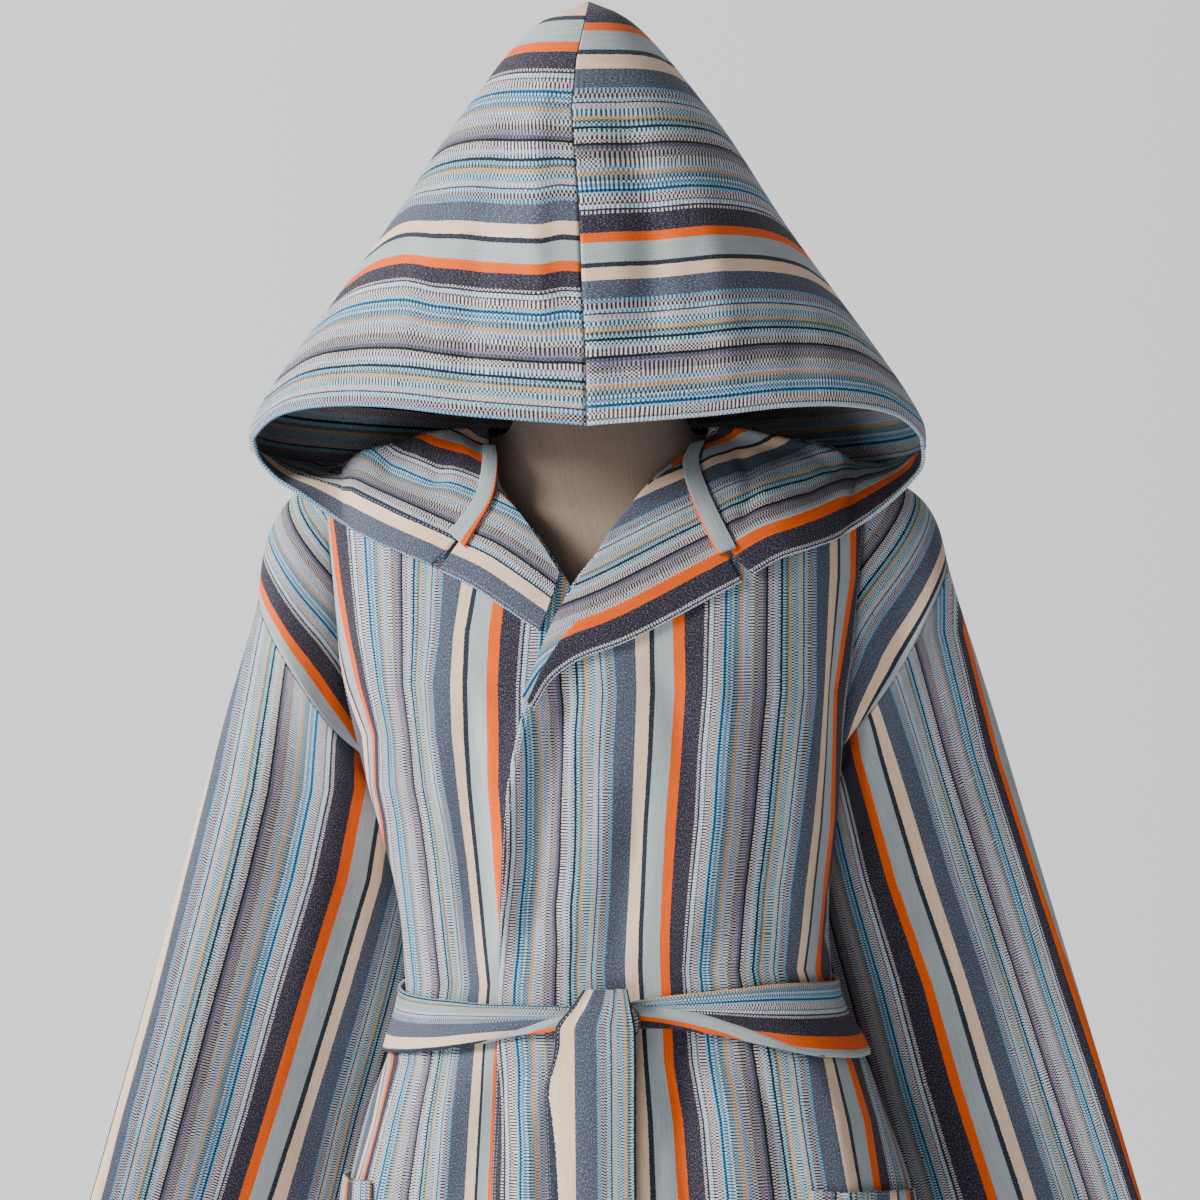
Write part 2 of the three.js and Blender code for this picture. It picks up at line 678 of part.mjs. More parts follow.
for (const [side, word, table] of [[-1, "right", SLEEVE_RIGHT], [1, "left", SLEEVE_LEFT]]) {
  const seam = sleeveRing(table, side, 0);
  const onSeam = (p) => Math.abs(p.clone().sub(seam.point(0)).dot(seam.axis)) < SEAM;
  // At the drop seam both walls end square to the seam's own plane.
  const square = (p, n) => (onSeam(p) ? n.addScaledVector(seam.axis, -n.dot(seam.axis)).normalize() : n);
  const band = (across, v) => {
    const u = across % 1;
    if (v === 0) return armholePoint(side, u, -2.5, -TUCK);
    const root = armholePoint(side, u, 4, -0.2 * TUCK);
    const way = (v - 0.25) / 0.75;
    const crown = CROWN * Math.max(0, Math.cos(2 * Math.PI * u)) * Math.sin(Math.PI * way);
    const p = root.lerp(seam.point(u).addScaledVector(seam.axis, -0.5 * SEAM), way);
    return p.add(V(side * 0.8 * crown, 0, 0.6 * crown));
  };
  add("shoulder_band_" + word, cloth(RING, 4, band, square), PAINT.band);
  const tube = (u, v) => {
    const p = sleeveRing(table, side, v).point(u);
    return v === 0 ? p.addScaledVector(seam.axis, 0.5 * SEAM) : p;
  };
  add("sleeve_" + word, cloth(RING, 9, tube, square), PAINT.sleeve);
}

// ---------------------------------------------------------------- hood
function tentPoint(side, angle, z) {
  const half = column(TENT, "half", z);
  const front = column(TENT, "front", z);
  const back = column(TENT, "back", z);
  const a = rad(angle);
  const x = HOOD_X + side * (half * Math.sin(a) + SEAM / 2);
  return V(x, (front + back) / 2 - ((back - front) / 2) * Math.cos(a), z);
}
const tentEdgeZ = (angle) => column(TENT_EDGE, "z", angle, "angle");

function hoodHalf(side, lipRows, seamRows) {
  const surface = new Surface();
  surface.patch(16, 9, (u, v) => tentPoint(side, 180 * u, lerp(HOOD_PEAK.z, tentEdgeZ(180 * u), v ** 0.9)));
  const fold = (u) => {
    const angle = lerp(CORNER_ANGLE, 180, u);
    return tentPoint(side, angle, tentEdgeZ(angle));
  };
  const seamStart = seamRows.map((row) => onFront(row.x, row.z, LAYER + 1.2));
  const backSeam = NECK_BACK.map((row) => V(row.x ? side * row.x : HOOD_X + (side * SEAM) / 2, row.y, row.z));
  const neckSeam = curve([...seamStart, ...backSeam]);
  const lip = curve([fold(0), ...lipRows.map((row) => V(row.x, row.y, row.z)), seamStart[0]]);
  const middle = fold(1).lerp(neckSeam(1), 0.5).add(V(0, 4, 3));
  const limb = coons(lip, curve([fold(1), middle, neckSeam(1)]), fold, neckSeam);
  surface.patch(9, 6, (u, v) => {
    const p = limb(u, v);
    if (v === 0 || v === 1) return p;
    const inside = Math.sin(Math.PI * v) * Math.min(1, 4 * u) * Math.min(1, 3 * (1 - u));
    p.add(V(0, -5 * inside * (1 - u), 5 * inside));
    return u === 1 ? p : clearOfBody(p, LAYER + 1.2 + CLEAR * Math.min(1, 5 * (1 - v), 5 * v + 0.6));
  });
  return surface;
}
const square = (p, n) => (Math.abs(p.x - HOOD_X) < SEAM ? V(0, n.y, n.z).normalize() : n);
add("hood_right", hoodHalf(-1, LIP_RIGHT, NECK_SEAM_RIGHT).wall(CLOTH, square), PAINT.hood);
add("hood_left", hoodHalf(1, LIP_LEFT, NECK_SEAM_LEFT).wall(CLOTH, square), PAINT.hood);

// ---------------------------------------------------------------- lapels and neck tapes
const flat = (rows) => curve(rows.map((row) => V(row.x, 0, row.z)));

// A strip that lies on a front between two lines, each read from its top down.
function strip(outer, inner, liftAt) {
  const from = flat(outer);
  const to = flat(inner);
  return (u, v) => {
    const p = from(v).lerp(to(v), u);
    return onFront(p.x, p.z, liftAt(u, v));
  };
}
const lapelLift = (u, v) => LAYER + 0.4 + 2.5 * Math.sin(Math.PI * u) * Math.sin(Math.PI * v);
const topLapelLift = (u, v) => lapelLift(u, v) + 1.6 * v;
add("lapel_right", cloth(6, 7, strip(LAPEL_RIGHT.outer, LAPEL_RIGHT.inner, lapelLift)), PAINT.band);
add("lapel_left", cloth(6, 9, strip(LAPEL_LEFT.outer, LAPEL_LEFT.inner, topLapelLift)), PAINT.band);
const tapeLift = () => 2 * LAYER + 1.3;
add("neck_tape_right", cloth(2, 8, strip(TAPE_RIGHT.outer, TAPE_RIGHT.inner, tapeLift)), PAINT.tape);
add("neck_tape_left", cloth(2, 8, strip(TAPE_LEFT.outer, TAPE_LEFT.inner, tapeLift)), PAINT.tape);

// ---------------------------------------------------------------- belt
const beltAngle = (turn) => lerp(BELT_START, BELT_START - BELT_TURN, turn);
const beltWrap = (u, v) => {
  const z = lerp(column(BELT, "bottom", u, "turn"), column(BELT, "top", u, "turn"), v);
  return bodyOut(beltAngle(u), z, BELT_LIFT + 2.5 * Math.sin(Math.PI * v));
};
add("belt_wrap", new Surface().patch(40, 3, beltWrap).wall(BELT_CLOTH), PAINT.belt);

const knot = new THREE.SphereGeometry(1, 14, 10);
knot.scale(KNOT.halfWidth, KNOT.halfDepth, KNOT.halfHeight);
const knotAt = onFront(KNOT.x, KNOT.z, KNOT.lift);
knot.translate(knotAt.x, knotAt.y, knotAt.z);
add("belt_knot", knot, PAINT.belt);

function beltEnd(rows, x) {
  return (u, v) => {
    const k = v * (rows.length - 1);
    const numbered = rows.map((row, i) => ({ ...row, k: i }));
    const width = column(numbered, "width", k, "k");
    const z = column(numbered, "z", k, "k");
    const lift = column(numbered, "lift", k, "k") + 2 * Math.sin(Math.PI * u);
    return onFront(x + column(numbered, "shift", k, "k") + width * (u - 0.5), z, lift);
  };
}
const beltEndTop = new Surface().patch(4, 14, beltEnd(BELT_END_TOP, KNOT.x - 10));
const beltEndUnder = new Surface().patch(4, 10, beltEnd(BELT_END_UNDER, KNOT.x - 14));
add("belt_end_top", beltEndTop.wall(BELT_CLOTH), PAINT.belt);
add("belt_end_under", beltEndUnder.wall(BELT_CLOTH), PAINT.belt);

// ---------------------------------------------------------------- dress form and stand
function solidFrom(geometry) {
  const plain = geometry.clone();
  for (const name of Object.keys(plain.attributes)) if (name !== "position") plain.deleteAttribute(name);
  const merged = mergeVertices(plain, 1e-3);
  const vertProperties = merged.attributes.position.array;
  const triVerts = new Uint32Array(merged.index.array);
  return new wasm.Manifold(new wasm.Mesh({ numProp: 3, vertProperties, triVerts }));
}
function geometryOf(solid) {
  const mesh = solid.getMesh();
  const geometry = new THREE.BufferGeometry();
  geometry.setAttribute("position", new THREE.Float32BufferAttribute(mesh.vertProperties, 3));
  geometry.setIndex(Array.from(mesh.triVerts));
  return geometry;
}

const formLow = FORM[0].z;
const torso = new Surface();
torso.patch(30, 13, (u, v) => {
  const level = lerp(formLow, SHOULDER_LEVEL, v);
  return bodyPoint(360 * u, level, FORM, FORM_DROP);
});
torso.patch(30, 1, (u, v) => (v ? bodyPoint(360 * u, formLow, FORM) : V(FORM[0].centre, 0, formLow)));
const neckProfile = NECK.rings.map((ring) => new THREE.Vector2(ring.half, ring.z));
neckProfile.unshift(new THREE.Vector2(0, NECK.rings[0].z));
neckProfile.push(new THREE.Vector2(0, NECK.top));
const neckColumn = new THREE.LatheGeometry(neckProfile, 28).rotateX(Math.PI / 2);
neckColumn.scale(1, NECK.flatness, 1);
neckColumn.translate(0, NECK.y, 0);
add("form_torso", geometryOf(solidFrom(torso.solid()).add(solidFrom(neckColumn))), PAINT.form);

const headProfile = [];
const HEAD_STEPS = 14;
const underside = Math.asin((NECK.top + SEAM - HEAD.z) / HEAD.halfHeight);
for (let i = 0; i <= HEAD_STEPS; i++) {
  const a = lerp(underside, Math.PI / 2, i / HEAD_STEPS);
  headProfile.push(new THREE.Vector2(i === HEAD_STEPS ? 0 : Math.cos(a), Math.sin(a)));
}
headProfile.unshift(new THREE.Vector2(0, Math.sin(underside)));
const head = new THREE.LatheGeometry(headProfile, 26).rotateX(Math.PI / 2);
head.scale(HEAD.halfWidth, HEAD.halfDepth, HEAD.halfHeight);
head.translate(HEAD.x, HEAD.y, HEAD.z);
add("form_head", geometryOf(solidFrom(head)), PAINT.form);

const poleLength = formLow - BASE.height - 2 * SEAM;
const pole = new THREE.CylinderGeometry(POLE_RADIUS, POLE_RADIUS, poleLength, 20).rotateX(Math.PI / 2);
pole.translate(0, 0, BASE.height + SEAM + poleLength / 2);
add("stand_pole", pole, PAINT.stand);
const disc = new THREE.CylinderGeometry(BASE.radius - 3, BASE.radius, BASE.height, 48).rotateX(Math.PI / 2);
disc.translate(0, 0, BASE.height / 2);
add("stand_base", disc, PAINT.stand);

robe.updateMatrixWorld(true);
export default robe;
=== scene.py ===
import bpy
import numpy as np
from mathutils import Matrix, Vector


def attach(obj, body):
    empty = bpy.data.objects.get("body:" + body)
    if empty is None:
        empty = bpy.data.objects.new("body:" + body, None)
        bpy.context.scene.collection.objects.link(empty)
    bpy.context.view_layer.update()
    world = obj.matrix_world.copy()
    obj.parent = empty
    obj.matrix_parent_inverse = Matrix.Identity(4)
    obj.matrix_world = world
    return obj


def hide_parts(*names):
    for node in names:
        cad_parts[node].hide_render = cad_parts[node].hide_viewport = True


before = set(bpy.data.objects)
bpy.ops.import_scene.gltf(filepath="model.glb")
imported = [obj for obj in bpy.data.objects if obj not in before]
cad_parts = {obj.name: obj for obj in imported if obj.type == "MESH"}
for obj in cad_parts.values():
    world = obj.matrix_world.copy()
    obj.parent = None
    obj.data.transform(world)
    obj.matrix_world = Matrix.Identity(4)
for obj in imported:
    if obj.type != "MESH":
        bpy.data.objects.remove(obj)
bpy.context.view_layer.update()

# ---------------------------------------------------------------- driving dimensions, as in the CAD source
CLOTH = 1.8
BELT_CLOTH = 3.0
SEAM = 0.4
LAYER = CLOTH + SEAM
HEM_Z = 300
ARMPIT_Z = 1205
CHEST_Z = 1290
SHOULDER_LEVEL = 1415
SHOULDER_Y = 5
NECK_X, NECK_Z = 80, 1456
SHOULDER_SLOPE = 0.22
SQUARENESS = 0.05
BACK_NECK_DROP = 25
FRONT_ROUND = 2.2
BACK_ROUND = 3.2
UNDERLAP = 4.4
TUCK = 5
CROWN = 15
SIDE_SEAM_SHIFT = 20
POCKET_LIFT = 4
POCKET = {"right": -160, "left": 146, "reach": 42, "top": 920, "bottom": 735, "slope": 12}
BELT_LIFT = 4.6
BELT_START = -5
BELT_TURN = 356.5
KNOT = {"x": 8, "z": 1036, "lift": 16.7, "half": (20, 8, 17)}
FORM_DROP = 1.75
HOOD_X = -9
HOOD_PEAK_Y, HOOD_PEAK_Z = 18, 1777
CORNER_ANGLE = 78.75
CLEAR = 3.4
REPEAT = 145.0  # one repeat of the stripes across the cloth
CAMERA_DISTANCE, CAMERA_HEIGHT = 2600, 1334
CAMERA_LENS, CAMERA_SENSOR = 105.86, 36
VIEW_MIDDLE = 600  # of the front view, in its own units from the upper left
VIEW_SCALE = 3528.6  # those units in a millimetre, times the distance
VIEW_UNIT = 0.7  # millimetres to a unit in the plane of the chest
MERGE = 200  # points closer than a millimetre's 200th are one
HEM_RISE = 0.4  # how far a turned-back hem stands out on each face


def rows(names, *lines):
    return [dict(zip(names.split(), line)) for line in lines]


BODY = rows(
    "z half centre front back",
    (300, 268, 10, 178, 176), (600, 240, 14, 164, 168), (780, 222, 18, 155, 160), (898, 207, 22, 148, 155),
    (963, 188, 19, 136, 143), (1003, 173, 19, 125, 130), (1033, 158, 15, 115, 118), (1065, 156, 13, 115, 117),
    (1119, 158, 10, 122, 119), (1191, 166, 4, 131, 123), (1262, 177, -2, 133, 125), (1334, 191, -3, 129, 122),
    (1415, 207, -3, 120, 115),
)
FORM = rows(
    "z half centre front back",
    (850, 146, 4, 98, 106), (900, 160, 4, 106, 114), (960, 150, 4, 100, 106), (1040, 116, 3, 84, 84),
    (1120, 128, 1, 96, 92), (1200, 146, 0, 110, 104), (1290, 160, -2, 106, 104), (1415, 186, -3, 92, 92),
)
FOLDS = rows(
    "angle width depth low high lean",
    (-77, 10, 6, 1150, 1420, 1), (76, 10, 6, 1150, 1420, -1), (-40, 6, -5, 1075, 1290, 4),
    (40, 8, -3, 1075, 1230, -3), (-38, 6, -7, 700, 1010, 3), (-62, 11, 9, 330, 985, 1),
    (10, 11, 8, 320, 960, 1), (33, 9, -9, 360, 1000, -1), (58, 12, 10, 320, 960, -2),
    (84, 9, -9, 320, 930, 0), (-86, 9, -9, 320, 930, 0), (110, 12, 13, 310, 985, 2),
    (138, 11, -13, 310, 1000, 1), (164, 12, 15, 310, 985, 0), (-170, 11, -14, 310, 1005, -1),
    (-146, 12, 14, 310, 985, -1), (-118, 11, -12, 310, 990, -2), (150, 9, -5, 1070, 1260, -2),
    (-155, 9, -5, 1070, 1280, 2), (180, 12, 4, 1070, 1300, 0),
)
EDGE_OVER = rows(
    "x z",
    (-74, 300), (-75, 914), (-71, 1061), (-70, 1124), (-66, 1194), (-59, 1236), (-49, 1272), (-36, 1307),
    (-20, 1344), (0, 1370), (31, 1413), (62, 1441), (NECK_X, NECK_Z),
)
EDGE_UNDER = rows(
    "x z",
    (55, 300), (55, 914), (55, 1061), (54, 1124), (48, 1194), (38, 1236), (24, 1272), (4, 1307),
    (-20, 1344), (-38, 1372), (-56, 1396), (-70, 1414), (-NECK_X, NECK_Z),
)
ARMHOLE = rows("level angle", (ARMPIT_Z, 89), (1225, 83), (1250, 79), (1292, 76), (1350, 73), (1415, 71))
SLEEVE_RIGHT = [
    ((-250, 0, 1336), (-179, 8, 1226), 58), ((-274, 6, 1250), (-152, 80, 1142), 42),
    ((-313, 10, 1110), (-138, 112, 1032), 36), ((-349, 14, 985), (-160, 132, 912), 30),
    ((-388, 16, 850), (-190, 134, 798), 25),
]
SLEEVE_LEFT = [
    ((254, 0, 1364), (186, 8, 1242), 58), ((283, 6, 1270), (166, 80, 1156), 42),
    ((329, 10, 1120), (161, 112, 1040), 36), ((371, 14, 985), (188, 134, 912), 30),
    ((412, 16, 850), (220, 138, 798), 25),
]
TENT = rows(
    "z half front back",
    (1400, 238, -172, 96), (1455, 245, -172, 112), (1479, 235, -169, 118), (1515, 211, -163, 122),
    (1558, 180, -152, 122), (1609, 144, -134, 118), (1673, 104, -103, 107), (1706, 80, -77, 92),
    (1740, 53, -45, 70), (1765, 27, -14, 46), (HOOD_PEAK_Z, 0, HOOD_PEAK_Y, HOOD_PEAK_Y),
)
TENT_EDGE = rows(
    "angle z",
    (0, 1454), (20, 1461), (35, 1468), (50, 1470), (65, 1465), (CORNER_ANGLE, 1450), (100, 1442),
    (130, 1436), (180, 1428),
)
LIP = {
    -1: [(-246, -50, 1436), (-234, -50, 1422), (-217, -54, 1411), (-188, -62, 1391), (-165, -73, 1378),
         (-146, -86, 1368)],
    1: [(233, -50, 1432), (221, -51, 1416), (197, -58, 1395), (171, -70, 1379), (146, -85, 1368),
        (124, -96, 1360)],
}
NECK_SEAM = {
    -1: [(-118, 1357), (-102, 1373), (-85, 1401), (-79, 1424), (-80, 1444)],
    1: [(107, 1351), (95, 1363), (79, 1391), (70, 1420), (76, 1444)],
}
NECK_BACK = [(81, 5, 1461), (68, 40, 1461), (38, 60, 1460), (0, 66, 1460)]
LAPEL = {
    -1: ([(-113, 1354), (-90, 1343), (-64, 1326), (-42, 1311)],
         [(-72, 1410), (-58, 1396), (-42, 1374), (-28, 1352)]),
    1: ([(99, 1346), (80, 1336), (48, 1319), (17, 1304), (-15, 1292), (-34, 1279), (-48, 1258)],
        [(58, 1430), (42, 1420), (12, 1388), (-8, 1356), (-28, 1328), (-40, 1302), (-54, 1266)]),
}
TAPE = {
    -1: ([(-83, 1441), (-83, 1430), (-87, 1406), (-105, 1379)],
         [(-75, 1440), (-73, 1430), (-75, 1405), (-94, 1369)]),
    1: ([(76, 1444), (71, 1430), (80, 1400), (95, 1369)],
        [(65, 1441), (59, 1428), (66, 1398), (82, 1364)]),
}
BELT = rows(
    "turn bottom top",
    (0, 1031, 1047), (0.05, 1026, 1048), (0.12, 1016, 1050), (0.24, 1006, 1051), (0.5, 1004, 1054),
    (0.75, 1004, 1056), (0.88, 1014, 1062), (0.96, 1030, 1056), (1, 1034, 1050),
)
BELT_END_TOP = rows(
    "k z lift width shift",
    (0, 1061, 13, 30, 6), (1, 1052, 26, 38, 4), (2, 1032, 27, 52, 0), (3, 1000, 21, 54, 0),
    (4, 950, 12, 54, 0), (5, 840, 10.6, 54, 1), (6, 720, 10.6, 54, 2), (7, 610, 10.6, 54, 4),
)
BELT_END_UNDER = rows(
    "k z lift width shift",
    (0, 1017, 8.5, 30, 8), (1, 990, 7.5, 44, 2), (2, 900, 5.5, 54, -2), (3, 760, 5.5, 54, -6),
    (4, 640, 5.5, 54, -8),
)


# ---------------------------------------------------------------- curves through tables
def smooth(low, high, x):
    t = np.clip((x - low) / (high - low), 0, 1)
    return t * t * (3 - 2 * t)


def lerp(a, b, t):
    return a + (b - a) * t


def column(table, name, x, key="z"):
    """The value of a named column at x, by a smooth curve through the table's rows."""
    keys = np.array([row[key] for row in table], float)
    values = np.array([row[name] for row in table], float)
    last = len(table) - 1
    x = np.asarray(x, float)
    at = np.clip(np.searchsorted(keys, x, side="right") - 1, 0, last - 1)
    low, high = np.maximum(at - 1, 0), np.minimum(at + 2, last)
    span = keys[at + 1] - keys[at]
    t = np.clip((x - keys[at]) / span, 0, 1)
    m0 = (values[at + 1] - values[low]) / (keys[at + 1] - keys[low]) * span
    m1 = (values[high] - values[at]) / (keys[high] - keys[at]) * span
    t2, t3 = t * t, t * t * t
    return (
        (2 * t3 - 3 * t2 + 1) * values[at] + (t3 - 2 * t2 + t) * m0 + (3 * t2 - 2 * t3) * values[at + 1]
        + (t3 - t2) * m1
    )


def curve(points):
    """A smooth curve through points, read evenly along its length with t from 0 to 1."""
    p = np.array(points, float)
    before, after = 2 * p[0] - p[1], 2 * p[-1] - p[-2]
    q = np.vstack([before, p, after])
    count = len(p)

    def at(t):
        t = np.asarray(t, float)
        way = np.clip(t, 0, 1) * (count - 1)
        i = np.minimum(way.astype(int), count - 2)
        w = (way - i)[..., None]
        p0, p1, p2, p3 = q[i], q[i + 1], q[i + 2], q[i + 3]

        def knot(a, b):
            return np.maximum((((a - b) ** 2).sum(-1)) ** 0.25, 1e-4)[..., None]

        d0, d1, d2 = knot(p0, p1), knot(p1, p2), knot(p2, p3)
        t1 = ((p1 - p0) / d0 - (p2 - p0) / (d0 + d1) + (p2 - p1) / d1) * d1
        t2 = ((p2 - p1) / d1 - (p3 - p1) / (d1 + d2) + (p3 - p2) / d2) * d1
        return (
            p1 + t1 * w + (-3 * p1 + 3 * p2 - 2 * t1 - t2) * w ** 2 + (2 * p1 - 2 * p2 + t1 + t2) * w ** 3
        )

    samples = at(np.linspace(0, 1, 61))
    run = np.concatenate([[0], np.cumsum(np.linalg.norm(np.diff(samples, axis=0), axis=1))])
    return lambda t: at(np.interp(np.clip(t, 0, 1) * run[-1], run, np.linspace(0, 1, 61)))


def unit(v):
    return v / np.maximum(np.linalg.norm(v, axis=-1, keepdims=True), 1e-12)


def xyz(x, y, z):
    return np.stack(np.broadcast_arrays(np.asarray(x, float), y, z), axis=-1)


# ---------------------------------------------------------------- creases
def relief(a, b, lines):
    """Height at (a, b) of soft ridges and troughs, each (points, left width, right width, depth, fade)."""
    total = np.zeros(np.broadcast(a, b).shape)
    for points, left, right, depth, fade in lines:
        p = np.array(points, float)
        best = np.full(total.shape, 1e9)
        side = np.ones(total.shape)
        along = np.zeros(total.shape)
        run = 0.0
        for (ax, ay), (bx, by) in zip(p[:-1], p[1:]):
            dx, dy = bx - ax, by - ay
            long = np.hypot(dx, dy)
            t = np.clip(((a - ax) * dx + (b - ay) * dy) / long ** 2, 0, 1)
            ox, oy = a - ax - t * dx, b - ay - t * dy
            away = np.hypot(ox, oy)
            nearer = away < best
            best = np.where(nearer, away, best)
            side = np.where(nearer, np.sign(dx * oy - dy * ox), side)
            along = np.where(nearer, run + t * long, along)
            run += long
        width = np.where(side > 0, left, right)
        ends = smooth(0, fade, along) * (1 - smooth(run - fade, run, along))
        total += depth * np.exp(-((best / width) ** 2)) * ends
    return total


def seen(*points):
    """Points of the front view, in its own units, as x and height."""
    return [((x - VIEW_MIDDLE) * VIEW_UNIT, 1040 + (1020 - y) * VIEW_UNIT) for x, y in points]


# Creases: line, width left of it, width right of it, depth and the length over which its ends fade. Those
# over the wearer's front are drawn on the front view, and those of the back are by x and height.
FRONT_CREASES = [
    (seen((462, 660), (470, 760), (479, 900), (487, 985)), 7, 12, -6, 60),
    (seen((430, 700), (440, 820), (452, 990)), 10, 8, 4, 70),
    (seen((398, 640), (412, 760), (424, 900), (430, 1000)), 9, 12, -3.5, 90),
    (seen((353, 590), (372, 700), (398, 840)), 8, 12, 3.5, 60),
    (seen((532, 668), (516, 750), (506, 860), (499, 985)), 7, 8, 4.5, 60),
    (seen((580, 655), (556, 730), (538, 830), (525, 985)), 12, 14, -12.5, 60),
    (seen((622, 720), (600, 830), (574, 930), (556, 1000)), 12, 12, 3.5, 70),
    (seen((646, 760), (630, 880), (612, 1000)), 10, 12, -3.5, 60),
    (seen((716, 600), (722, 740), (708, 880), (672, 985)), 13, 15, 5, 80),
    (seen((772, 640), (768, 760), (744, 900), (706, 985)), 12, 14, -5, 70),
    (seen((812, 700), (806, 830), (796, 970)), 9, 10, 3.5, 60),
    (seen((640, 640), (676, 700), (690, 800)), 12, 12, -3, 50),
    (seen((500, 1052), (492, 1120), (478, 1260)), 8, 9, -6, 40),
    (seen((458, 1050), (446, 1140), (430, 1300)), 9, 10, 4.5, 50),
    (seen((415, 1050), (402, 1130), (388, 1260)), 8, 9, -4.5, 50),
    (seen((540, 1050), (533, 1130), (526, 1250)), 8, 8, 4.5, 40),
    (seen((556, 1050), (552, 1140), (547, 1300)), 6, 7, -5, 40),
    (seen((662, 1045), (682, 1120), (694, 1240)), 9, 10, -5.5, 40),
    (seen((700, 1040), (732, 1120), (748, 1280)), 10, 11, 4.5, 50),
    (seen((742, 1040), (780, 1120), (800, 1240)), 9, 10, -4.5, 50),
    (seen((806, 1050), (836, 1120), (856, 1260)), 8, 9, 4, 50),
    (seen((845, 880), (838, 930), (836, 980)), 6, 8, -4, 25),
]
BACK_CREASES = [
    ([(-120, 1360), (-96, 1280), (-70, 1180), (-52, 1080)], 14, 16, -5, 70),
    ([(-60, 1300), (-40, 1200), (-30, 1070)], 12, 12, 4, 70),
    ([(8, 1340), (-4, 1230), (6, 1075)], 12, 14, -4.5, 80),
    ([(70, 1320), (48, 1200), (40, 1070)], 14, 12, 4, 60),
    ([(128, 1350), (104, 1260), (86, 1160), (72, 1070)], 14, 13, -5.5, 70),
    ([(-150, 1180), (-120, 1120), (-98, 1066)], 10, 10, 3.5, 40),
    ([(150, 1190), (132, 1130), (112, 1066)], 10, 10, 3.5, 40),
    ([(-88, 1000), (-104, 880), (-112, 700)], 12, 10, -4, 60),
    ([(30, 1000), (36, 860), (30, 640)], 12, 12, -4, 60),
    ([(100, 1000), (124, 860), (136, 660)], 10, 12, 4, 60),
]


def creased(angle, x, level):
    away = np.abs(angle)
    front = relief(x, level, FRONT_CREASES) * (1 - smooth(76, 92, away))
    return front + relief(x, level, BACK_CREASES) * smooth(88, 104, away)


# ---------------------------------------------------------------- the body's surface
def shoulder_z(x):
    return NECK_Z - SHOULDER_SLOPE * np.maximum(0, np.abs(x) - NECK_X)


def wrap(angle):
    return (np.asarray(angle, float) + 180) % 360 - 180


def fold_depth(angle, level):
    total = 0.0
    for f in FOLDS:
        away = wrap(angle - f["angle"] - f["lean"] * (level - f["low"]) / 100)
        bottom = 1 if f["low"] < HEM_Z + 80 else smooth(f["low"] - 60, f["low"] + 60, level)
        top = 1 - smooth(f["high"] - (350 if f["low"] < 500 else 90), f["high"], level)
        total = total + f["depth"] * np.exp(-((away / f["width"]) ** 2)) * bottom * top
    return total


def body_point(angle, level, sections=BODY, drop=0.0):
    angle = wrap(angle)
    level = np.asarray(level, float)
    a = np.radians(angle)
    half = column(sections, "half", level)
    front = np.abs(angle) <= 90
    depth = np.where(front, column(sections, "front", level), column(sections, "back", level))
    box = 1 - SQUARENESS
    across = (np.sin(a) + SQUARENESS * np.sin(3 * a)) / box
    along = (np.cos(a) - SQUARENESS * np.cos(3 * a)) / box
    x = column(sections, "centre", level) + half * across
    fold = fold_depth(angle, level) + creased(angle, x, level) if sections is BODY else 0.0
    x = x + fold * np.sin(a)
    y = -depth * along - fold * np.cos(a)
    turn = np.radians(np.clip(90 * (level - CHEST_Z) / (SHOULDER_LEVEL - CHEST_Z), 0, 90))
    power = 2 / np.where(front, FRONT_ROUND, BACK_ROUND)
    rise = np.sin(turn) ** power
    keep = np.maximum(0, np.cos(turn)) ** power
    high = level > CHEST_Z
    y = np.where(high, lerp(SHOULDER_Y, y, keep), y)
    z = np.where(high, lerp(CHEST_Z, shoulder_z(x) - drop, rise), level)
    return xyz(x, y, z)


def body_normal(angle, level, sections=BODY):
    top = np.minimum(level, SHOULDER_LEVEL - 1)
    across = body_point(angle + 0.5, top, sections) - body_point(angle - 0.5, top, sections)
    up = body_point(angle, top + 1, sections) - body_point(angle, top - 1, sections)
    return unit(np.cross(across, up))


def body_out(angle, level, lift, sections=BODY):
    out = body_normal(angle, level, sections)
    return body_point(angle, level, sections) + out * np.asarray(lift)[..., None]


def body_at(x, z, front=True):
    """The section angle and level of the body's point at x and z, on its front or its back."""
    x, z, front = np.broadcast_arrays(np.asarray(x, float), np.asarray(z, float), front)
    rise = np.clip((z - CHEST_Z) / (shoulder_z(x) - CHEST_Z), 0, 1)
    turn = np.arcsin(rise ** (np.where(front, FRONT_ROUND, BACK_ROUND) / 2))
    level = np.where(z > CHEST_Z, CHEST_Z + (SHOULDER_LEVEL - CHEST_Z) * turn / (np.pi / 2), z)
    low, high = np.full(x.shape, -90.0), np.full(x.shape, 90.0)
    for _ in range(26):
        middle = (low + high) / 2
        less = body_point(np.where(front, middle, 180 - middle), level)[..., 0] < x
        low, high = np.where(less, middle, low), np.where(less, high, middle)
    return np.where(front, low, wrap(180 - low)), level


def on_front(x, z, lift):
    angle, level = body_at(x, z)
    return body_out(angle, level, np.broadcast_to(lift, np.shape(angle)))


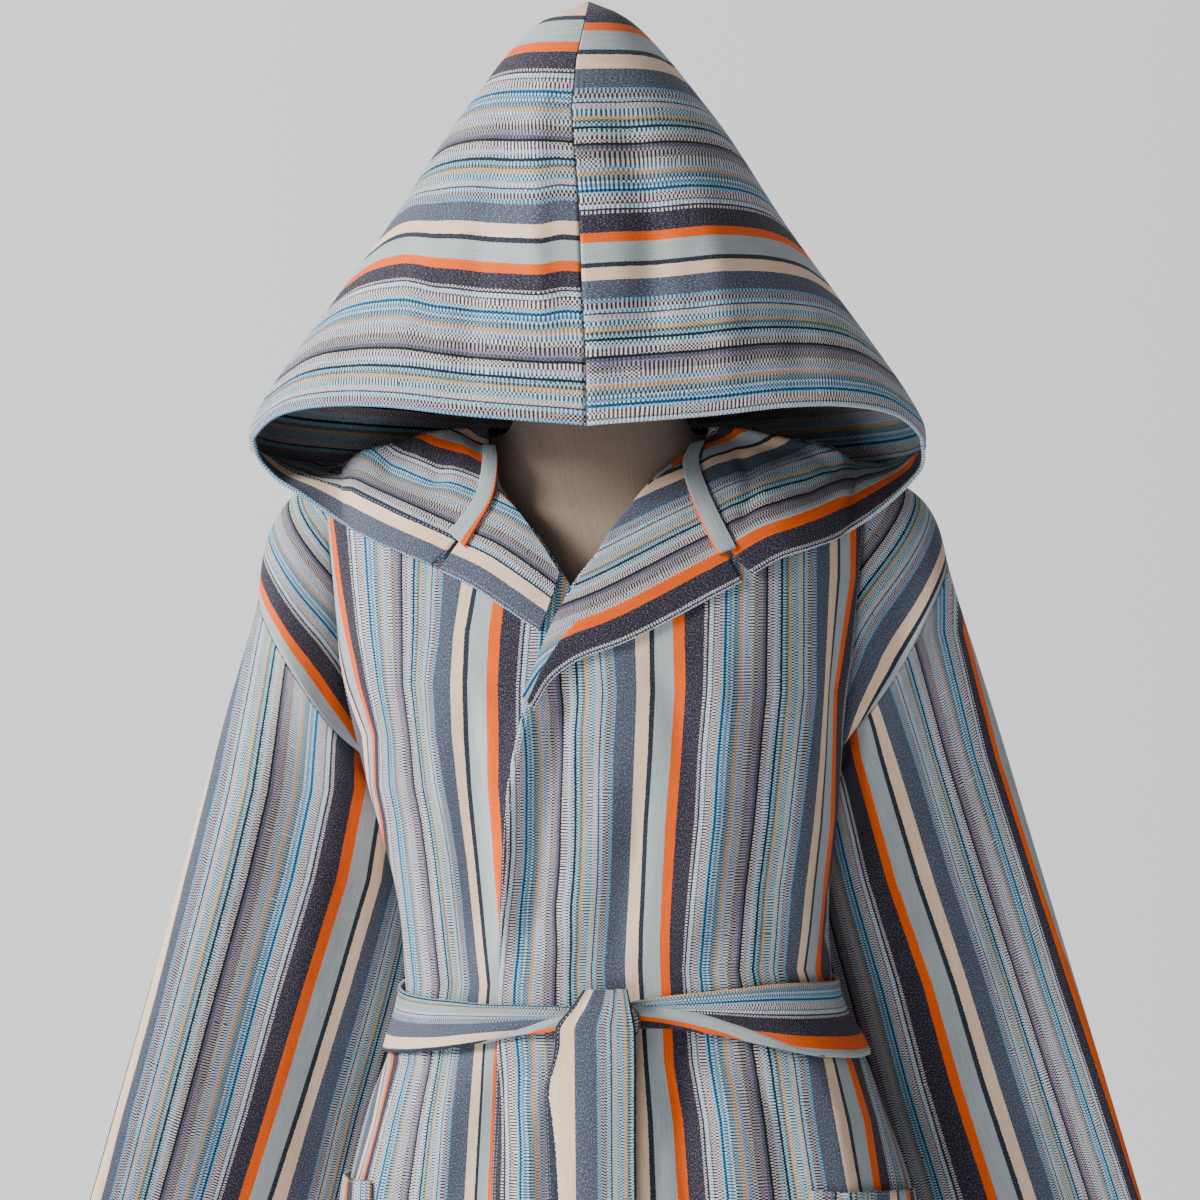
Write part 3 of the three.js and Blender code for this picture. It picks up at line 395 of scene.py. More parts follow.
def clear_of_body(p, clearance):
    """Moves points of loose cloth out until they are that far from the body below them."""
    p = p.copy()
    clearance = np.broadcast_to(clearance, p.shape[:-1])
    reach = column(BODY, "half", np.minimum(p[..., 2], SHOULDER_LEVEL)) - 8
    live = np.abs(p[..., 0]) <= reach
    ease = 1 - smooth(reach - 34, reach, np.abs(p[..., 0]))
    for _ in range(3):
        top = shoulder_z(p[..., 0])
        over = live & ((p[..., 2] > top - 1) | (np.abs(p[..., 1] - SHOULDER_Y) < 2))
        raised = np.maximum(p[..., 2], top + clearance)
        p[..., 2] = np.where(over, lerp(p[..., 2], raised, ease), p[..., 2])
        live = live & ~over
        angle, level = body_at(p[..., 0], np.minimum(p[..., 2], top - 1), p[..., 1] < SHOULDER_Y)
        normal = body_normal(angle, level)
        away = ((p - body_point(angle, level)) * normal).sum(-1)
        push = np.where(live & (away < clearance), clearance - away, 0) * ease
        p += normal * push[..., None]
    return p


# ---------------------------------------------------------------- meshes
def arc(points, axis):
    """Distance run along a grid of points in that direction, from its first line."""
    steps = np.linalg.norm(np.diff(points, axis=axis), axis=-1)
    zero = np.zeros_like(np.take(steps, [0], axis=axis))
    return np.concatenate([zero, np.cumsum(steps, axis=axis)], axis=axis)


def grid_quads(points):
    r, c = points.shape[:2]
    index = np.arange(r * c).reshape(r, c)
    return np.stack([index[:-1, :-1], index[:-1, 1:], index[1:, 1:], index[1:, :-1]], -1).reshape(-1, 4)


def vertex_normals(points, faces):
    a, b, c, d = (points[faces[:, i]] for i in range(4))
    n = np.cross(c - a, d - b)
    total = np.zeros_like(points)
    for i in range(4):
        np.add.at(total, faces[:, i], n)
    return unit(total)


def grid_normals(points):
    return vertex_normals(points.reshape(-1, 3), grid_quads(points)).reshape(points.shape)


def merged(points, places=MERGE):
    """Which points are the first of those that meet, and for each point the place of its own among them."""
    cells = np.round(points * places).astype(np.int64)
    _, first, index = np.unique(cells, axis=0, return_index=True, return_inverse=True)
    return first, index.reshape(-1)


def chart_of(across, along):
    """Cloth coordinates: repeats across the stripes and millimetres along them."""
    return xyz(across, along, 0)[..., :2]


def ride(piece, slot, *nodes):
    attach(piece, "root")
    if nodes:
        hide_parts(*nodes)
    return piece


def mesh_object(name, points, faces, charts, material, smooth_faces=True):
    """faces are quads, a corner twice for a triangle; charts are their corners' cloth coordinates."""
    faces = np.asarray(faces)
    charts = np.asarray(charts, float)
    keep = np.ones(faces.shape, bool)
    for i in range(4):
        for j in range(i):
            keep[:, i] &= faces[:, i] != faces[:, j]
    size = keep.sum(1)
    good = size >= 3
    faces, charts, keep, size = faces[good], charts[good], keep[good], size[good]
    flat = faces[keep]
    mesh = bpy.data.meshes.new(name)
    mesh.vertices.add(len(points))
    mesh.vertices.foreach_set("co", (np.asarray(points, np.float64) * 0.001).astype(np.float32).ravel())
    mesh.loops.add(len(flat))
    mesh.loops.foreach_set("vertex_index", flat.astype(np.int32))
    mesh.polygons.add(len(size))
    mesh.polygons.foreach_set("loop_start", np.concatenate([[0], np.cumsum(size)[:-1]]).astype(np.int32))
    layer = mesh.uv_layers.new(name="cloth")
    layer.data.foreach_set("uv", charts[keep].astype(np.float32).ravel())
    mesh.polygons.foreach_set("use_smooth", np.full(len(size), smooth_faces))
    mesh.update(calc_edges=True)
    mesh.validate()
    mesh.materials.append(material)
    piece = bpy.data.objects.new(name, mesh)
    bpy.context.scene.collection.objects.link(piece)
    return piece


class Cloth:
    """Grids of points that make up one piece's middle surface; points that meet become one."""

    def __init__(self):
        self.points, self.charts, self.others, self.faces, self.extra, self.count = [], [], [], [], [], 0

    def grid(self, points, chart, other=None, extra=0.0):
        """chart and other are the cloth coordinates of the outer and the inner face."""
        shape = points.shape[:2]
        self.points.append(points.reshape(-1, 3))
        self.charts.append(chart.reshape(-1, 2))
        self.others.append((chart if other is None else other).reshape(-1, 2))
        self.extra.append(np.broadcast_to(extra, shape).reshape(-1))
        self.faces.append(grid_quads(points) + self.count)
        self.count += shape[0] * shape[1]
        return self

    def build(self, name, thickness, material, adjust=None):
        raw, quads = np.vstack(self.points), np.vstack(self.faces)
        outer_chart, inner_chart = np.vstack(self.charts)[quads], np.vstack(self.others)[quads]
        extra = np.concatenate(self.extra)
        first, inverse = merged(raw)
        points = raw[first]
        more = np.zeros(len(first))
        np.maximum.at(more, inverse, extra)
        faces = inverse[quads]
        normals = vertex_normals(points, faces)
        if adjust is not None:
            normals = adjust(points, normals)
        reach = (thickness / 2 + more)[:, None] * normals
        n = len(points)
        following = np.roll(faces, -1, axis=1)
        edges = np.stack([faces, following], -1).reshape(-1, 2)
        spots = np.stack([outer_chart, np.roll(outer_chart, -1, axis=1)], 2).reshape(-1, 2, 2)
        real = edges[:, 0] != edges[:, 1]
        edges, spots = edges[real], spots[real]
        rim = ~np.isin(edges[:, 0] * n + edges[:, 1], edges[:, 1] * n + edges[:, 0])
        e, s = edges[rim], spots[rim]
        side = np.stack([e[:, 1], e[:, 0], e[:, 0] + n, e[:, 1] + n], 1)
        side_chart = np.stack([s[:, 1], s[:, 0], s[:, 0], s[:, 1]], 1)
        return mesh_object(
            name, np.vstack([points + reach, points - reach]), np.vstack([faces, faces[:, ::-1] + n, side]),
            np.concatenate([outer_chart, inner_chart[:, ::-1], side_chart]), material,
        )


def cloth_piece(node, points, chart, thickness=CLOTH, slot="robe_body", adjust=None, extra=0.0):
    """One grid of striped cloth, as the piece that stands for a node of the CAD."""
    cloth = Cloth().grid(points, chart, extra=extra)
    return ride(cloth.build("robe_" + node, thickness, STRIPED, adjust), slot, node)


def solid_of(name, grids, material, places=MERGE):
    """Closed grids of points as one mesh without cloth coordinates."""
    parts, faces, count = [], [], 0
    for grid in grids:
        parts.append(grid.reshape(-1, 3))
        faces.append(grid_quads(grid) + count)
        count += len(parts[-1])
    raw = np.vstack(parts)
    first, index = merged(raw, places)
    quads = index[np.vstack(faces)]
    return mesh_object(name, raw[first], quads, np.zeros((len(quads), 4, 2)), material)


# ---------------------------------------------------------------- sewing
ROWS_SEWN = []  # (points on the cloth's face, outward normals there, pitch, stitch length, stitch width)
SUNK = 0.1  # how deep a stitch's ends lie in the cloth
THREAD_RISE = 0.35


def radial(points):
    return points * [1, 1, 0]


def upward(points):
    return np.broadcast_to([0.0, -0.7, 0.7], points.shape)


def sew(points, edge, away, toward, lift=CLOTH / 2, pitch=3.2, long=2.1, wide=0.55, where=None):
    """A row of stitches that distance in from one edge of a grid of cloth, on the face towards toward."""
    normals = grid_normals(points)
    normals *= np.where((normals * toward(points)).sum(-1) < 0, -1.0, 1.0)[..., None]
    turned = []
    for g in (points, normals):
        g = g[:, ::-1] if edge == "right" else g[::-1] if edge == "high" else g
        turned.append(np.swapaxes(g, 0, 1) if edge in ("low", "high") else g)
    run = arc(turned[0], 1)
    line, out = (
        np.array([[np.interp(away, s, p[:, i]) for i in range(3)] for p, s in zip(g, run)]) for g in turned
    )
    out = unit(out)
    line = line + out * lift
    if where is not None:
        kept = where(line)
        line, out = line[kept], out[kept]
    if len(line) > 1:
        ROWS_SEWN.append((line, out, pitch, long, wide))


def stitched(name, material):
    """All rows as small closed ridges of thread, half sunk in the cloth."""
    points, faces = [], []
    for line, out, pitch, long, wide in ROWS_SEWN:
        run = np.concatenate([[0], np.cumsum(np.linalg.norm(np.diff(line, axis=0), axis=1))])
        count = max(1, int(run[-1] // pitch))
        uneven = 0.2 * np.sin(np.arange(count) * 2.4)
        start = (run[-1] - count * pitch) / 2 + np.arange(count) * pitch + uneven
        a, b, n = (
            np.stack([np.interp(at, run, grid[:, i]) for i in range(3)], -1)
            for at, grid in ((start, line), (start + long, line), (start + long / 2, out))
        )
        n, middle = unit(n), (a + b) / 2
        side = unit(np.cross(n, b - a)) * wide / 2
        corners = np.stack([
            a - SUNK * n, middle + side, b - SUNK * n, middle - side,
            middle + THREAD_RISE * n, middle - THREAD_RISE * n,
        ], 1)
        base = sum(len(p) for p in points) + 6 * np.arange(count)[:, None]
        for i in range(4):
            j = (i + 1) % 4
            faces.append(base + [i, j, 4, 4])
            faces.append(base + [j, i, 5, 5])
        points.append(corners.reshape(-1, 3))
    faces = np.vstack(faces)
    return mesh_object(name, np.vstack(points), faces, np.zeros((len(faces), 4, 2)), material, False)


# ---------------------------------------------------------------- the striped cloth
# One repeat of the cloth, thread group by thread group: width in millimetres, ground colour, colour of the
# ticks that cross it, how strongly they show, how heathered the ground is, and the ticks' half step.
REPEAT_ROWS = [
    (14.2, "434856", "868D9A", 0.0, 0.8, 0),
    (9.4, "DABFA8", "B9A08C", 0.0, 0.2, 0),
    (3.8, "20242F", "5A6272", 0.0, 0.7, 0),
    (13.3, "9CA4A6", "879194", 0.0, 0.25, 0),
    (8.3, "DC5E2A", "E98A5A", 0.0, 0.3, 0),
    (14.2, "221F29", "736D7E", 0.0, 0.9, 0),
    (2.3, "221E26", "DCD2D7", 0.9, 0.3, 0),
    (1.3, "111219", "5E6270", 0.3, 0.2, 1),
    (2.8, "CAD7DE", "324860", 0.75, 0.2, 1),
    (1.3, "181E29", "BCC8D2", 0.5, 0.2, 0),
    (5.2, "3B282B", "DAD3D5", 1.0, 0.3, 0),
    (1.5, "94C1D2", "1C2D3F", 0.6, 0.2, 1),
    (1.9, "0F172B", "2F78B4", 0.7, 0.2, 0),
    (1.6, "B0D5E1", "10192D", 0.95, 0.2, 1),
    (1.9, "194A70", "A1CADE", 0.7, 0.2, 0),
    (1.7, "D2DAE1", "101726", 0.95, 0.2, 1),
    (1.7, "161A22", "94BACB", 0.8, 0.2, 0),
    (2.3, "8BA7B7", "141923", 0.95, 0.2, 1),
    (2.3, "8F6844", "D9CFC3", 0.6, 0.2, 0),
    (1.7, "C5BFC3", "32343E", 0.75, 0.2, 1),
    (1.7, "2F5F92", "D2DCE4", 0.75, 0.2, 0),
    (4.7, "C6C6CA", "121219", 1.0, 0.2, 1),
    (4.2, "110F16", "ABA1A3", 1.0, 0.3, 0),
    (2.3, "95869E", "17151E", 0.9, 0.2, 1),
    (2.1, "5F636F", "181A20", 0.8, 0.3, 0),
    (1.6, "0D0E14", "292D3B", 0.3, 0.2, 0),
    (4.6, "2A222A", "D2C8CB", 1.0, 0.3, 1),
    (2.1, "BAC2CA", "3B4653", 0.75, 0.2, 0),
    (2.5, "173D52", "C5D7DE", 0.95, 0.2, 1),
    (1.6, "101320", "2E3850", 0.3, 0.2, 0),
    (2.3, "94C0D0", "121E2E", 0.9, 0.2, 0),
    (2.1, "1E2526", "94A2A2", 0.8, 0.2, 1),
    (2.3, "93704A", "D9CFC0", 0.6, 0.2, 0),
    (4.8, "ABC6D2", "122839", 1.0, 0.2, 1),
    (3.3, "BFBCB9", "43434A", 0.65, 0.2, 0),
    (1.1, "291E3B", "7E6E8C", 0.3, 0.2, 0),
    (2.3, "A5CBDA", "1F384C", 0.8, 0.2, 1),
    (4.2, "1B141A", "BBB0B4", 1.0, 0.3, 0),
    (2.5, "88AAC3", "1B324D", 0.9, 0.2, 1),
]
TICK = 2.1  # millimetres from one tick to the next along a thread group


def linear(text):
    values = [int(text[i:i + 2], 16) / 255 for i in (0, 2, 4)]
    return [v / 12.92 if v <= 0.04045 else ((v + 0.055) / 1.055) ** 2.4 for v in values]


class Nodes:
    """Short calls for building a material's node tree."""

    def __init__(self, name):
        self.material = bpy.data.materials.new(name)
        self.material.use_nodes = True
        self.tree = self.material.node_tree
        self.tree.nodes.clear()

    def add(self, kind, inputs=None, **settings):
        node = self.tree.nodes.new(kind)
        for key, value in settings.items():
            setattr(node, key, value)
        for key, value in (inputs or {}).items():
            self.put(node, key, value)
        return node

    def put(self, node, key, value):
        socket = node.inputs[key]
        if isinstance(value, bpy.types.NodeSocket):
            self.tree.links.new(value, socket)
        else:
            socket.default_value = value

    def math(self, operation, *values, clamp=False):
        node = self.add("ShaderNodeMath", operation=operation, use_clamp=clamp)
        for i, value in enumerate(values):
            self.put(node, i, value)
        return node.outputs[0]

    def plus(self, a, b):
        return self.math("ADD", a, b)

    def minus(self, a, b):
        return self.math("SUBTRACT", a, b)

    def times(self, a, b):
        return self.math("MULTIPLY", a, b)

    def tint(self, color, value):
        settings = {"Value": value, "Color": (*linear(color), 1)}
        return self.add("ShaderNodeHueSaturation", settings).outputs[0]

    def speck(self, place, scale, detail):
        settings = {"Vector": place, "Scale": scale, "Detail": detail}
        return self.add("ShaderNodeTexNoise", settings).outputs[0]

    def mix(self, kind, factor, a, b):
        node = self.add("ShaderNodeMix", data_type=kind)
        slot = {"FLOAT": (2, 3), "RGBA": (6, 7)}[kind]
        self.put(node, 0, factor)
        self.put(node, slot[0], a)
        self.put(node, slot[1], b)
        return node.outputs[0 if kind == "FLOAT" else 2]

    def ramp(self, factor, stops):
        node = self.add("ShaderNodeValToRGB", {"Fac": factor})
        ramp = node.color_ramp
        ramp.interpolation = "CONSTANT"
        while len(ramp.elements) > 1:
            ramp.elements.remove(ramp.elements[-1])
        ramp.elements[0].position = stops[0][0]
        ramp.elements[0].color = stops[0][1]
        for position, color in stops[1:]:
            ramp.elements.new(position).color = color
        return node.outputs["Color"], node.outputs["Alpha"]

    def noise(self, x, y, detail, roughness=0.6, z=0.0):
        """Noise with features about one unit long over the two given coordinates."""
        place = self.add("ShaderNodeCombineXYZ", {0: x, 1: y, 2: z}).outputs[0]
        return self.add(
            "ShaderNodeTexNoise", {"Vector": place, "Scale": 1.0, "Detail": detail, "Roughness": roughness}
        ).outputs[0]

    def range(self, value, low, high, first=0.0, last=1.0):
        return self.add("ShaderNodeMapRange", {0: value, 1: low, 2: high, 3: first, 4: last}).outputs[0]

    def finish(self, color, roughness, height, distance, sheen=0.06, strength=0.4, specular=0.25):
        bump = self.add("ShaderNodeBump", {"Strength": strength, "Distance": distance, "Height": height})
        shader = self.add(
            "ShaderNodeBsdfPrincipled",
            {"Base Color": color, "Roughness": roughness, "Normal": bump.outputs[0], "Sheen Weight": sheen,
             "Sheen Roughness": 0.5, "Specular IOR Level": specular, "Metallic": 0.0},
        )
        self.tree.links.new(shader.outputs[0], self.add("ShaderNodeOutputMaterial").inputs[0])
        return self.material


def woven_cloth(name):
    """Striped flat-woven cotton, by the cloth coordinates."""
    n = Nodes(name)
    chart = n.add("ShaderNodeSeparateXYZ", {0: n.add("ShaderNodeUVMap", uv_map="cloth").outputs[0]})
    across, along = chart.outputs[0], chart.outputs[1]
    thread = n.times(across, REPEAT)

    def grain(thread_scale, along_scale, *settings):
        return n.noise(n.times(thread, thread_scale), n.times(along, along_scale), *settings)

    wander = grain(0.4, 0.9, 1.0)
    jitter = n.times(n.minus(wander, 0.5), 0.009)
    place = n.math("FRACT", n.plus(n.plus(across, 40.0), jitter))
    widths = np.array([row[0] for row in REPEAT_ROWS])
    starts = np.concatenate([[0], np.cumsum(widths)[:-1]]) / widths.sum()
    half = 20
    split = float(starts[half])
    second = n.math("GREATER_THAN", place, split)
    low = n.math("DIVIDE", place, split, clamp=True)
    high = n.math("DIVIDE", n.minus(place, split), 1 - split, clamp=True)

    def chained(color, alpha):
        parts = []
        halves = ((low, 0, half, 0, split), (high, half, None, split, 1 - split))
        for factor, first, last, base, span in halves:
            parts.append(n.ramp(factor, [
                ((start - base) / span, (*linear(color(row)), alpha(row)))
                for start, row in zip(starts[first:last], REPEAT_ROWS[first:last])
            ]))
        (first_color, first_alpha), (second_color, second_alpha) = parts
        mixed = n.mix("RGBA", second, first_color, second_color)
        return mixed, n.mix("FLOAT", second, first_alpha, second_alpha)

    ground, heather = chained(lambda row: row[1], lambda row: row[4])
    # the ticks' strength and half step share one channel
    tick_color, coded = chained(lambda row: row[2], lambda row: 0.49 * row[3] + 0.5 * row[5])
    shifted = n.math("GREATER_THAN", coded, 0.495)
    tick_amount = n.math("MULTIPLY", n.minus(coded, n.times(shifted, 0.5)), 2.04, clamp=True)
    # ticks: dashes across the thread groups, half a step apart from one group to the next
    sway = grain(0.02, 0.05, 1.0)
    phase = n.plus(n.math("DIVIDE", along, TICK), n.plus(n.times(shifted, 0.5), n.times(sway, 1.4)))
    patch = grain(0.42, 0.02, 0.0, 0.5, 9.0)
    broken = n.math("GREATER_THAN", patch, 0.52)
    phase = n.plus(phase, n.times(broken, 0.5))
    dash = n.math("SINE", n.times(phase, 2 * np.pi))
    fine = grain(0.9, 0.6, 3.0, 0.7)
    dash = n.plus(dash, n.times(n.minus(fine, 0.5), 2.2))
    dashed = n.range(dash, -0.15, 0.2)
    patchy = n.range(grain(0.5, 0.09, 2.0, 0.6, 5.0), 0.3, 0.7, 0.85, 1.0)
    ticked = n.times(n.times(dashed, tick_amount), patchy)
    color = n.mix("RGBA", ticked, ground, tick_color)
    # heather: flecks of the yarn, coarser where the ground is melange
    fleck = grain(1.15, 0.75, 1.0, 0.6, 3.0)
    spotted = n.times(n.range(fleck, 0.5, 0.68), n.times(heather, 0.5))
    color = n.mix("RGBA", spotted, color, tick_color)
    slub = grain(1.1, 0.04, 2.0, 0.6, 7.0)
    flecked = n.range(fleck, 0.3, 0.7, -1.0, 1.0)
    slubbed = n.range(slub, 0.3, 0.7, -0.12, 0.12)
    cloud = n.noise(n.times(across, 5.0), n.times(along, 0.02), 3.0, 0.6, 11.0)
    tone = n.plus(n.plus(n.times(flecked, n.times(heather, 0.4)), slubbed),
                  n.range(cloud, 0.2, 0.8, 0.92, 1.08))
    shade = n.add("ShaderNodeHueSaturation", {"Value": tone, "Saturation": 1.1, "Color": color}).outputs[0]
    # the weave as a fine relief: threads both ways, ticks standing on them
    warp = n.math("SINE", n.times(thread, 2 * np.pi / 0.9))
    weft = n.math("SINE", n.times(along, 2 * np.pi / 1.1))
    raised = n.plus(n.times(dashed, n.times(tick_amount, 0.9)),
                    n.plus(n.times(n.times(warp, weft), 0.25), n.times(fleck, 0.45)))
    return n.finish(shade, n.range(fleck, 0.2, 0.8, 0.8, 0.95), raised, 0.0007)


def plain_weave(name, color, pitch, depth, roughness, sheen):
    """Plain cloth with fine ribs down its length, by place on the object."""
    n = Nodes(name)
    place = n.add("ShaderNodeSeparateXYZ", {0: n.add("ShaderNodeTexCoord").outputs["Object"]})
    x, y, z = place.outputs
    round_about = n.plus(x, n.times(y, 0.7))
    rib = n.math("SINE", n.times(round_about, 2 * np.pi / pitch))
    fleck = n.noise(n.times(round_about, 900.0), n.times(z, 260.0), 2.0)
    cloud = n.noise(n.times(round_about, 9.0), n.times(z, 6.0), 2.0)
    streak = n.noise(n.times(round_about, 420.0), n.times(z, 14.0), 2.0)
    value = n.plus(n.range(fleck, 0.3, 0.7, 0.9, 1.1), n.range(streak, 0.3, 0.7, -0.08, 0.08))
    value = n.plus(value, n.range(cloud, 0.3, 0.7, -0.04, 0.04))
    shade = n.tint(color, value)
    height = n.plus(n.times(rib, 0.5), fleck)
    return n.finish(shade, n.range(fleck, 0.2, 0.8, roughness, roughness + 0.1), height, depth, sheen)


STRIPED = woven_cloth("striped_cotton")
FORM_CLOTH = plain_weave("stretched_jersey", "877466", 0.0013, 0.0004, 0.85, 0.3)


# ---------------------------------------------------------------- cloth coordinates
def projected(points):
    """Where points fall in the front view, in its own units."""
    depth = CAMERA_DISTANCE + points[..., 1]
    return (
        VIEW_MIDDLE + points[..., 0] * VIEW_SCALE / depth,
        VIEW_MIDDLE - (points[..., 2] - CAMERA_HEIGHT) * VIEW_SCALE / depth,
    )


SKIRT_MIDDLE = 545  # in the front view
SKIRT_FLARE = {-1: 1.52, 1: 1.27}
SETTLE = 16  # columns over which a row's stripes go over to those of its neighbours


def stretched_table(heights, known, out):
    """The table with a line added above it and one far below, where the skirt flares from its middle."""
    above = 60
    slope_low = (known[1] - known[0]) / (heights[1] - heights[0])
    slope_high = (known[-1] - known[-2]) / (heights[-1] - heights[-2])
    if out:
        below = 820
        last = SKIRT_MIDDLE + (known[-1] - SKIRT_MIDDLE) * SKIRT_FLARE[out]
    else:
        below = 400
        last = known[-1] + slope_high * below
    return (
        np.concatenate([[heights[0] - above], heights, [heights[-1] + below]]),
        np.vstack([known[0] - slope_low * above, known, last]),
    )


def guided(points, guide, front, out=0):
    """Repeats across the stripes for a grid of rows, which run across them.

    guide is (height in the front view, [(x, repeats), ...]). front says which columns of the grid it draws,
    and out, if not 0, the way in which they reach the outline. Beyond it the stripes keep their width."""
    values = np.array([k[1] for k in guide[0][1]], float)
    heights = np.array([line[0] for line in guide], float)
    known = np.array([[k[0] for k in line[1]] for line in guide], float)
    heights, known = stretched_table(heights, known, out)
    px, py = projected(points)
    run = arc(points, 1)
    columns = np.arange(points.shape[1])
    allowed = np.nonzero(front)[0]
    first, last = allowed[0], allowed[-1]
    outline = np.argmax(px * out, axis=1) * 0.94 if out else np.full(len(px), float(last))
    outline = even_out(np.minimum(outline, last), 12)
    way = np.sign(values[-1] - values[0])
    inner, ends = np.zeros(px.shape), ([], [])
    for r in range(len(px)):
        lines = np.array([np.interp(py[r], heights, known[:, i]) for i in range(len(values))])
        inner[r] = [np.interp(x, lines[:, c], values) for c, x in enumerate(px[r])]
        sense = np.sign(px[r, int(outline[r])] - px[r, first])
        order = slice(None, None, int(sense))
        low, high = lines[order][[0, -1], first:] * sense
        before, after = px[r, first:] * sense - low, px[r, first:] * sense - high
        i = int(np.argmax(before >= 0))
        if i:
            ends[0].append((first + i - before[i] / (before[i] - before[i - 1]), values[order][0]))
        else:
            ends[0].append((first, inner[r, first]))
        over = np.nonzero(after[i + 1:] > 0)[0]
        j = i + 1 + int(over[0]) if len(over) else len(after)
        crossing = first + j - after[j] / (after[j] - after[j - 1]) if j < len(after) else np.inf
        if crossing < outline[r]:
            ends[1].append((crossing, values[order][-1]))
        else:
            ends[1].append((outline[r], np.interp(outline[r], columns, inner[r])))
    step = way * sense
    chart = inner.copy()
    for spots, beyond in ((np.array(ends[0]), -1), (np.array(ends[1]), 1)):
        lengths = np.array([np.interp(e, columns, s) for e, s in zip(spots[:, 0], run)])
        base = spots[:, 1] - step * lengths / REPEAT
        away = (columns[None, :] - spots[:, :1]) * beyond
        settled = lerp(base[:, None], even_out(base, SETTLE)[:, None], smooth(0, SETTLE, away))
        chart = np.where(away > 0, settled + step * run / REPEAT, chart)
    return chart


def even_out(values, reach):
    """Running means over that many rows on either side."""
    kernel = np.full(2 * reach + 1, 1 / (2 * reach + 1))
    return np.convolve(np.pad(values, reach, mode="edge"), kernel, mode="valid")


def table(names, *lines):
    """Guide lines: names are the repeats, and each line is a height followed by its x values."""
    return [(line[0], list(zip(line[1:], names))) for line in lines]


def spread(count):
    return np.linspace(0, 1, count + 1)


def none(u, v=None):
    return np.zeros_like(u)


def whole(u, v=None):
    return np.ones_like(u)


# ---------------------------------------------------------------- body panels
def side_angle(side, level, on_back=False):
    low = 90 + (SIDE_SEAM_SHIFT * (1 - smooth(950, 1190, level)) if side < 0 else 0)
    edge = column(ARMHOLE, "angle", level, "level")
    return np.where(level <= ARMPIT_Z, low, 180 - edge if on_back else edge)


LEVELS = np.unique(np.concatenate([
    np.linspace(HEM_Z, 900, 121), np.linspace(900, 1290, 125), np.linspace(1290, SHOULDER_LEVEL, 40),
]))


def front_panel(side, edge, lift_at, columns):
    start = CHEST_Z - 18
    line = curve([(row["x"], 0, row["z"]) for row in edge if row["z"] >= start])
    way = (LEVELS - start) / (SHOULDER_LEVEL - start)
    above = line(np.clip(way, 0, 1))
    x = np.where(way < 0, column(edge, "x", LEVELS), above[:, 0])
    z = np.where(way < 0, LEVELS, above[:, 2])
    inner_angle, inner_level = body_at(x, z)
    outer = side * (side_angle(side, LEVELS) - 0.1)
    u = spread(columns)[None, :]
    angle = lerp(inner_angle[:, None], outer[:, None], u)
    own = lerp(inner_level[:, None], LEVELS[:, None], u)
    return body_out(angle, own, lift_at(angle, own))


def under_lift(angle, level):
    return -UNDERLAP * smooth(-62, -40, angle) * (1 - smooth(1308, 1334, level))


C, O, M = 0.1375, 0.317, 0.462  # middle of the cream stripe, of the orange one, and the start of the bands
GUIDE_OVER = table(
    (0, C, O, M, 1, 1 + C, 1 + O),
    (637, 612, 643.5, 680, 709, 816, 829.6, 843), (692, 617, 644, 681.5, 707.5, 816, 826, 834),
    (757, 613, 642, 677, 702, 809, 822.5, 833), (822, 612, 638.5, 671.7, 699, 801, 817, 832),
    (890, 610, 636, 668, 692, 791, 809.5, 824.6), (933, 607, 633.8, 666, 688, 788, 805, 821),
    (970, 604.5, 632.7, 666.7, 685, 785, 800, 817), (1063, 609, 639, 670, 693, 808, 829.5, 850),
    (1122, 612, 642, 679.5, 704, 815.4, 842, 868), (1195, 614, 644, 685, 710, 828, 855.5, 878.5),
)
GUIDE_UNDER = table(
    (C, O, M, 1, 1 + C, 1 + O, 1 + M),
    (531, 311, 333, 351, 447, 475, 508, 537), (582, 321, 340, 355, 443, 469, 502, 531),
    (633, 332, 349, 360, 440, 459, 496, 525), (684, 346, 360, 369, 433, 457, 493.5, 521),
    (735, 366, 375, 380, 436, 458, 494.7, 521), (786, 370, 376, 381, 444, 462, 495, 519),
    (821, 377, 383, 388, 451, 465.5, 498, 520), (862, 381, 387, 392, 458, 470.6, 500, 522),
    (903, 386, 392, 397, 462.5, 474.7, 504, 524), (984, 394, 400, 406, 470.6, 484, 508, 526),
    (1063, 386, 393, 401, 458, 479.5, 497, 514), (1122, 375.5, 379.5, 384, 451, 475.5, 495, 513),
    (1195, 354, 360.5, 366, 447, 471.5, 492, 511),
)

for side, name, edge, lift, guide in (
    (-1, "front_right", EDGE_UNDER, under_lift, GUIDE_UNDER),
    (1, "front_left", EDGE_OVER, none, GUIDE_OVER),
):
    points = front_panel(side, edge, lift, 100)
    cloth_piece(name, points, chart_of(guided(points, guide, np.full(101, True), side), points[..., 2]))
    sew(points, "low", 22, radial)
    sew(points, "right", 3, radial, where=lambda line: line[:, 2] > ARMPIT_Z + 12)
    if side > 0:
        for away, wide in ((0.9, 0.95), (3.6, 0.5)):
            sew(points, "left", away, radial, pitch=2.3, long=1.9, wide=wide,
                where=lambda line: (line[:, 2] < 1262) & ((line[:, 2] > 1060) | (line[:, 2] < 1030)))

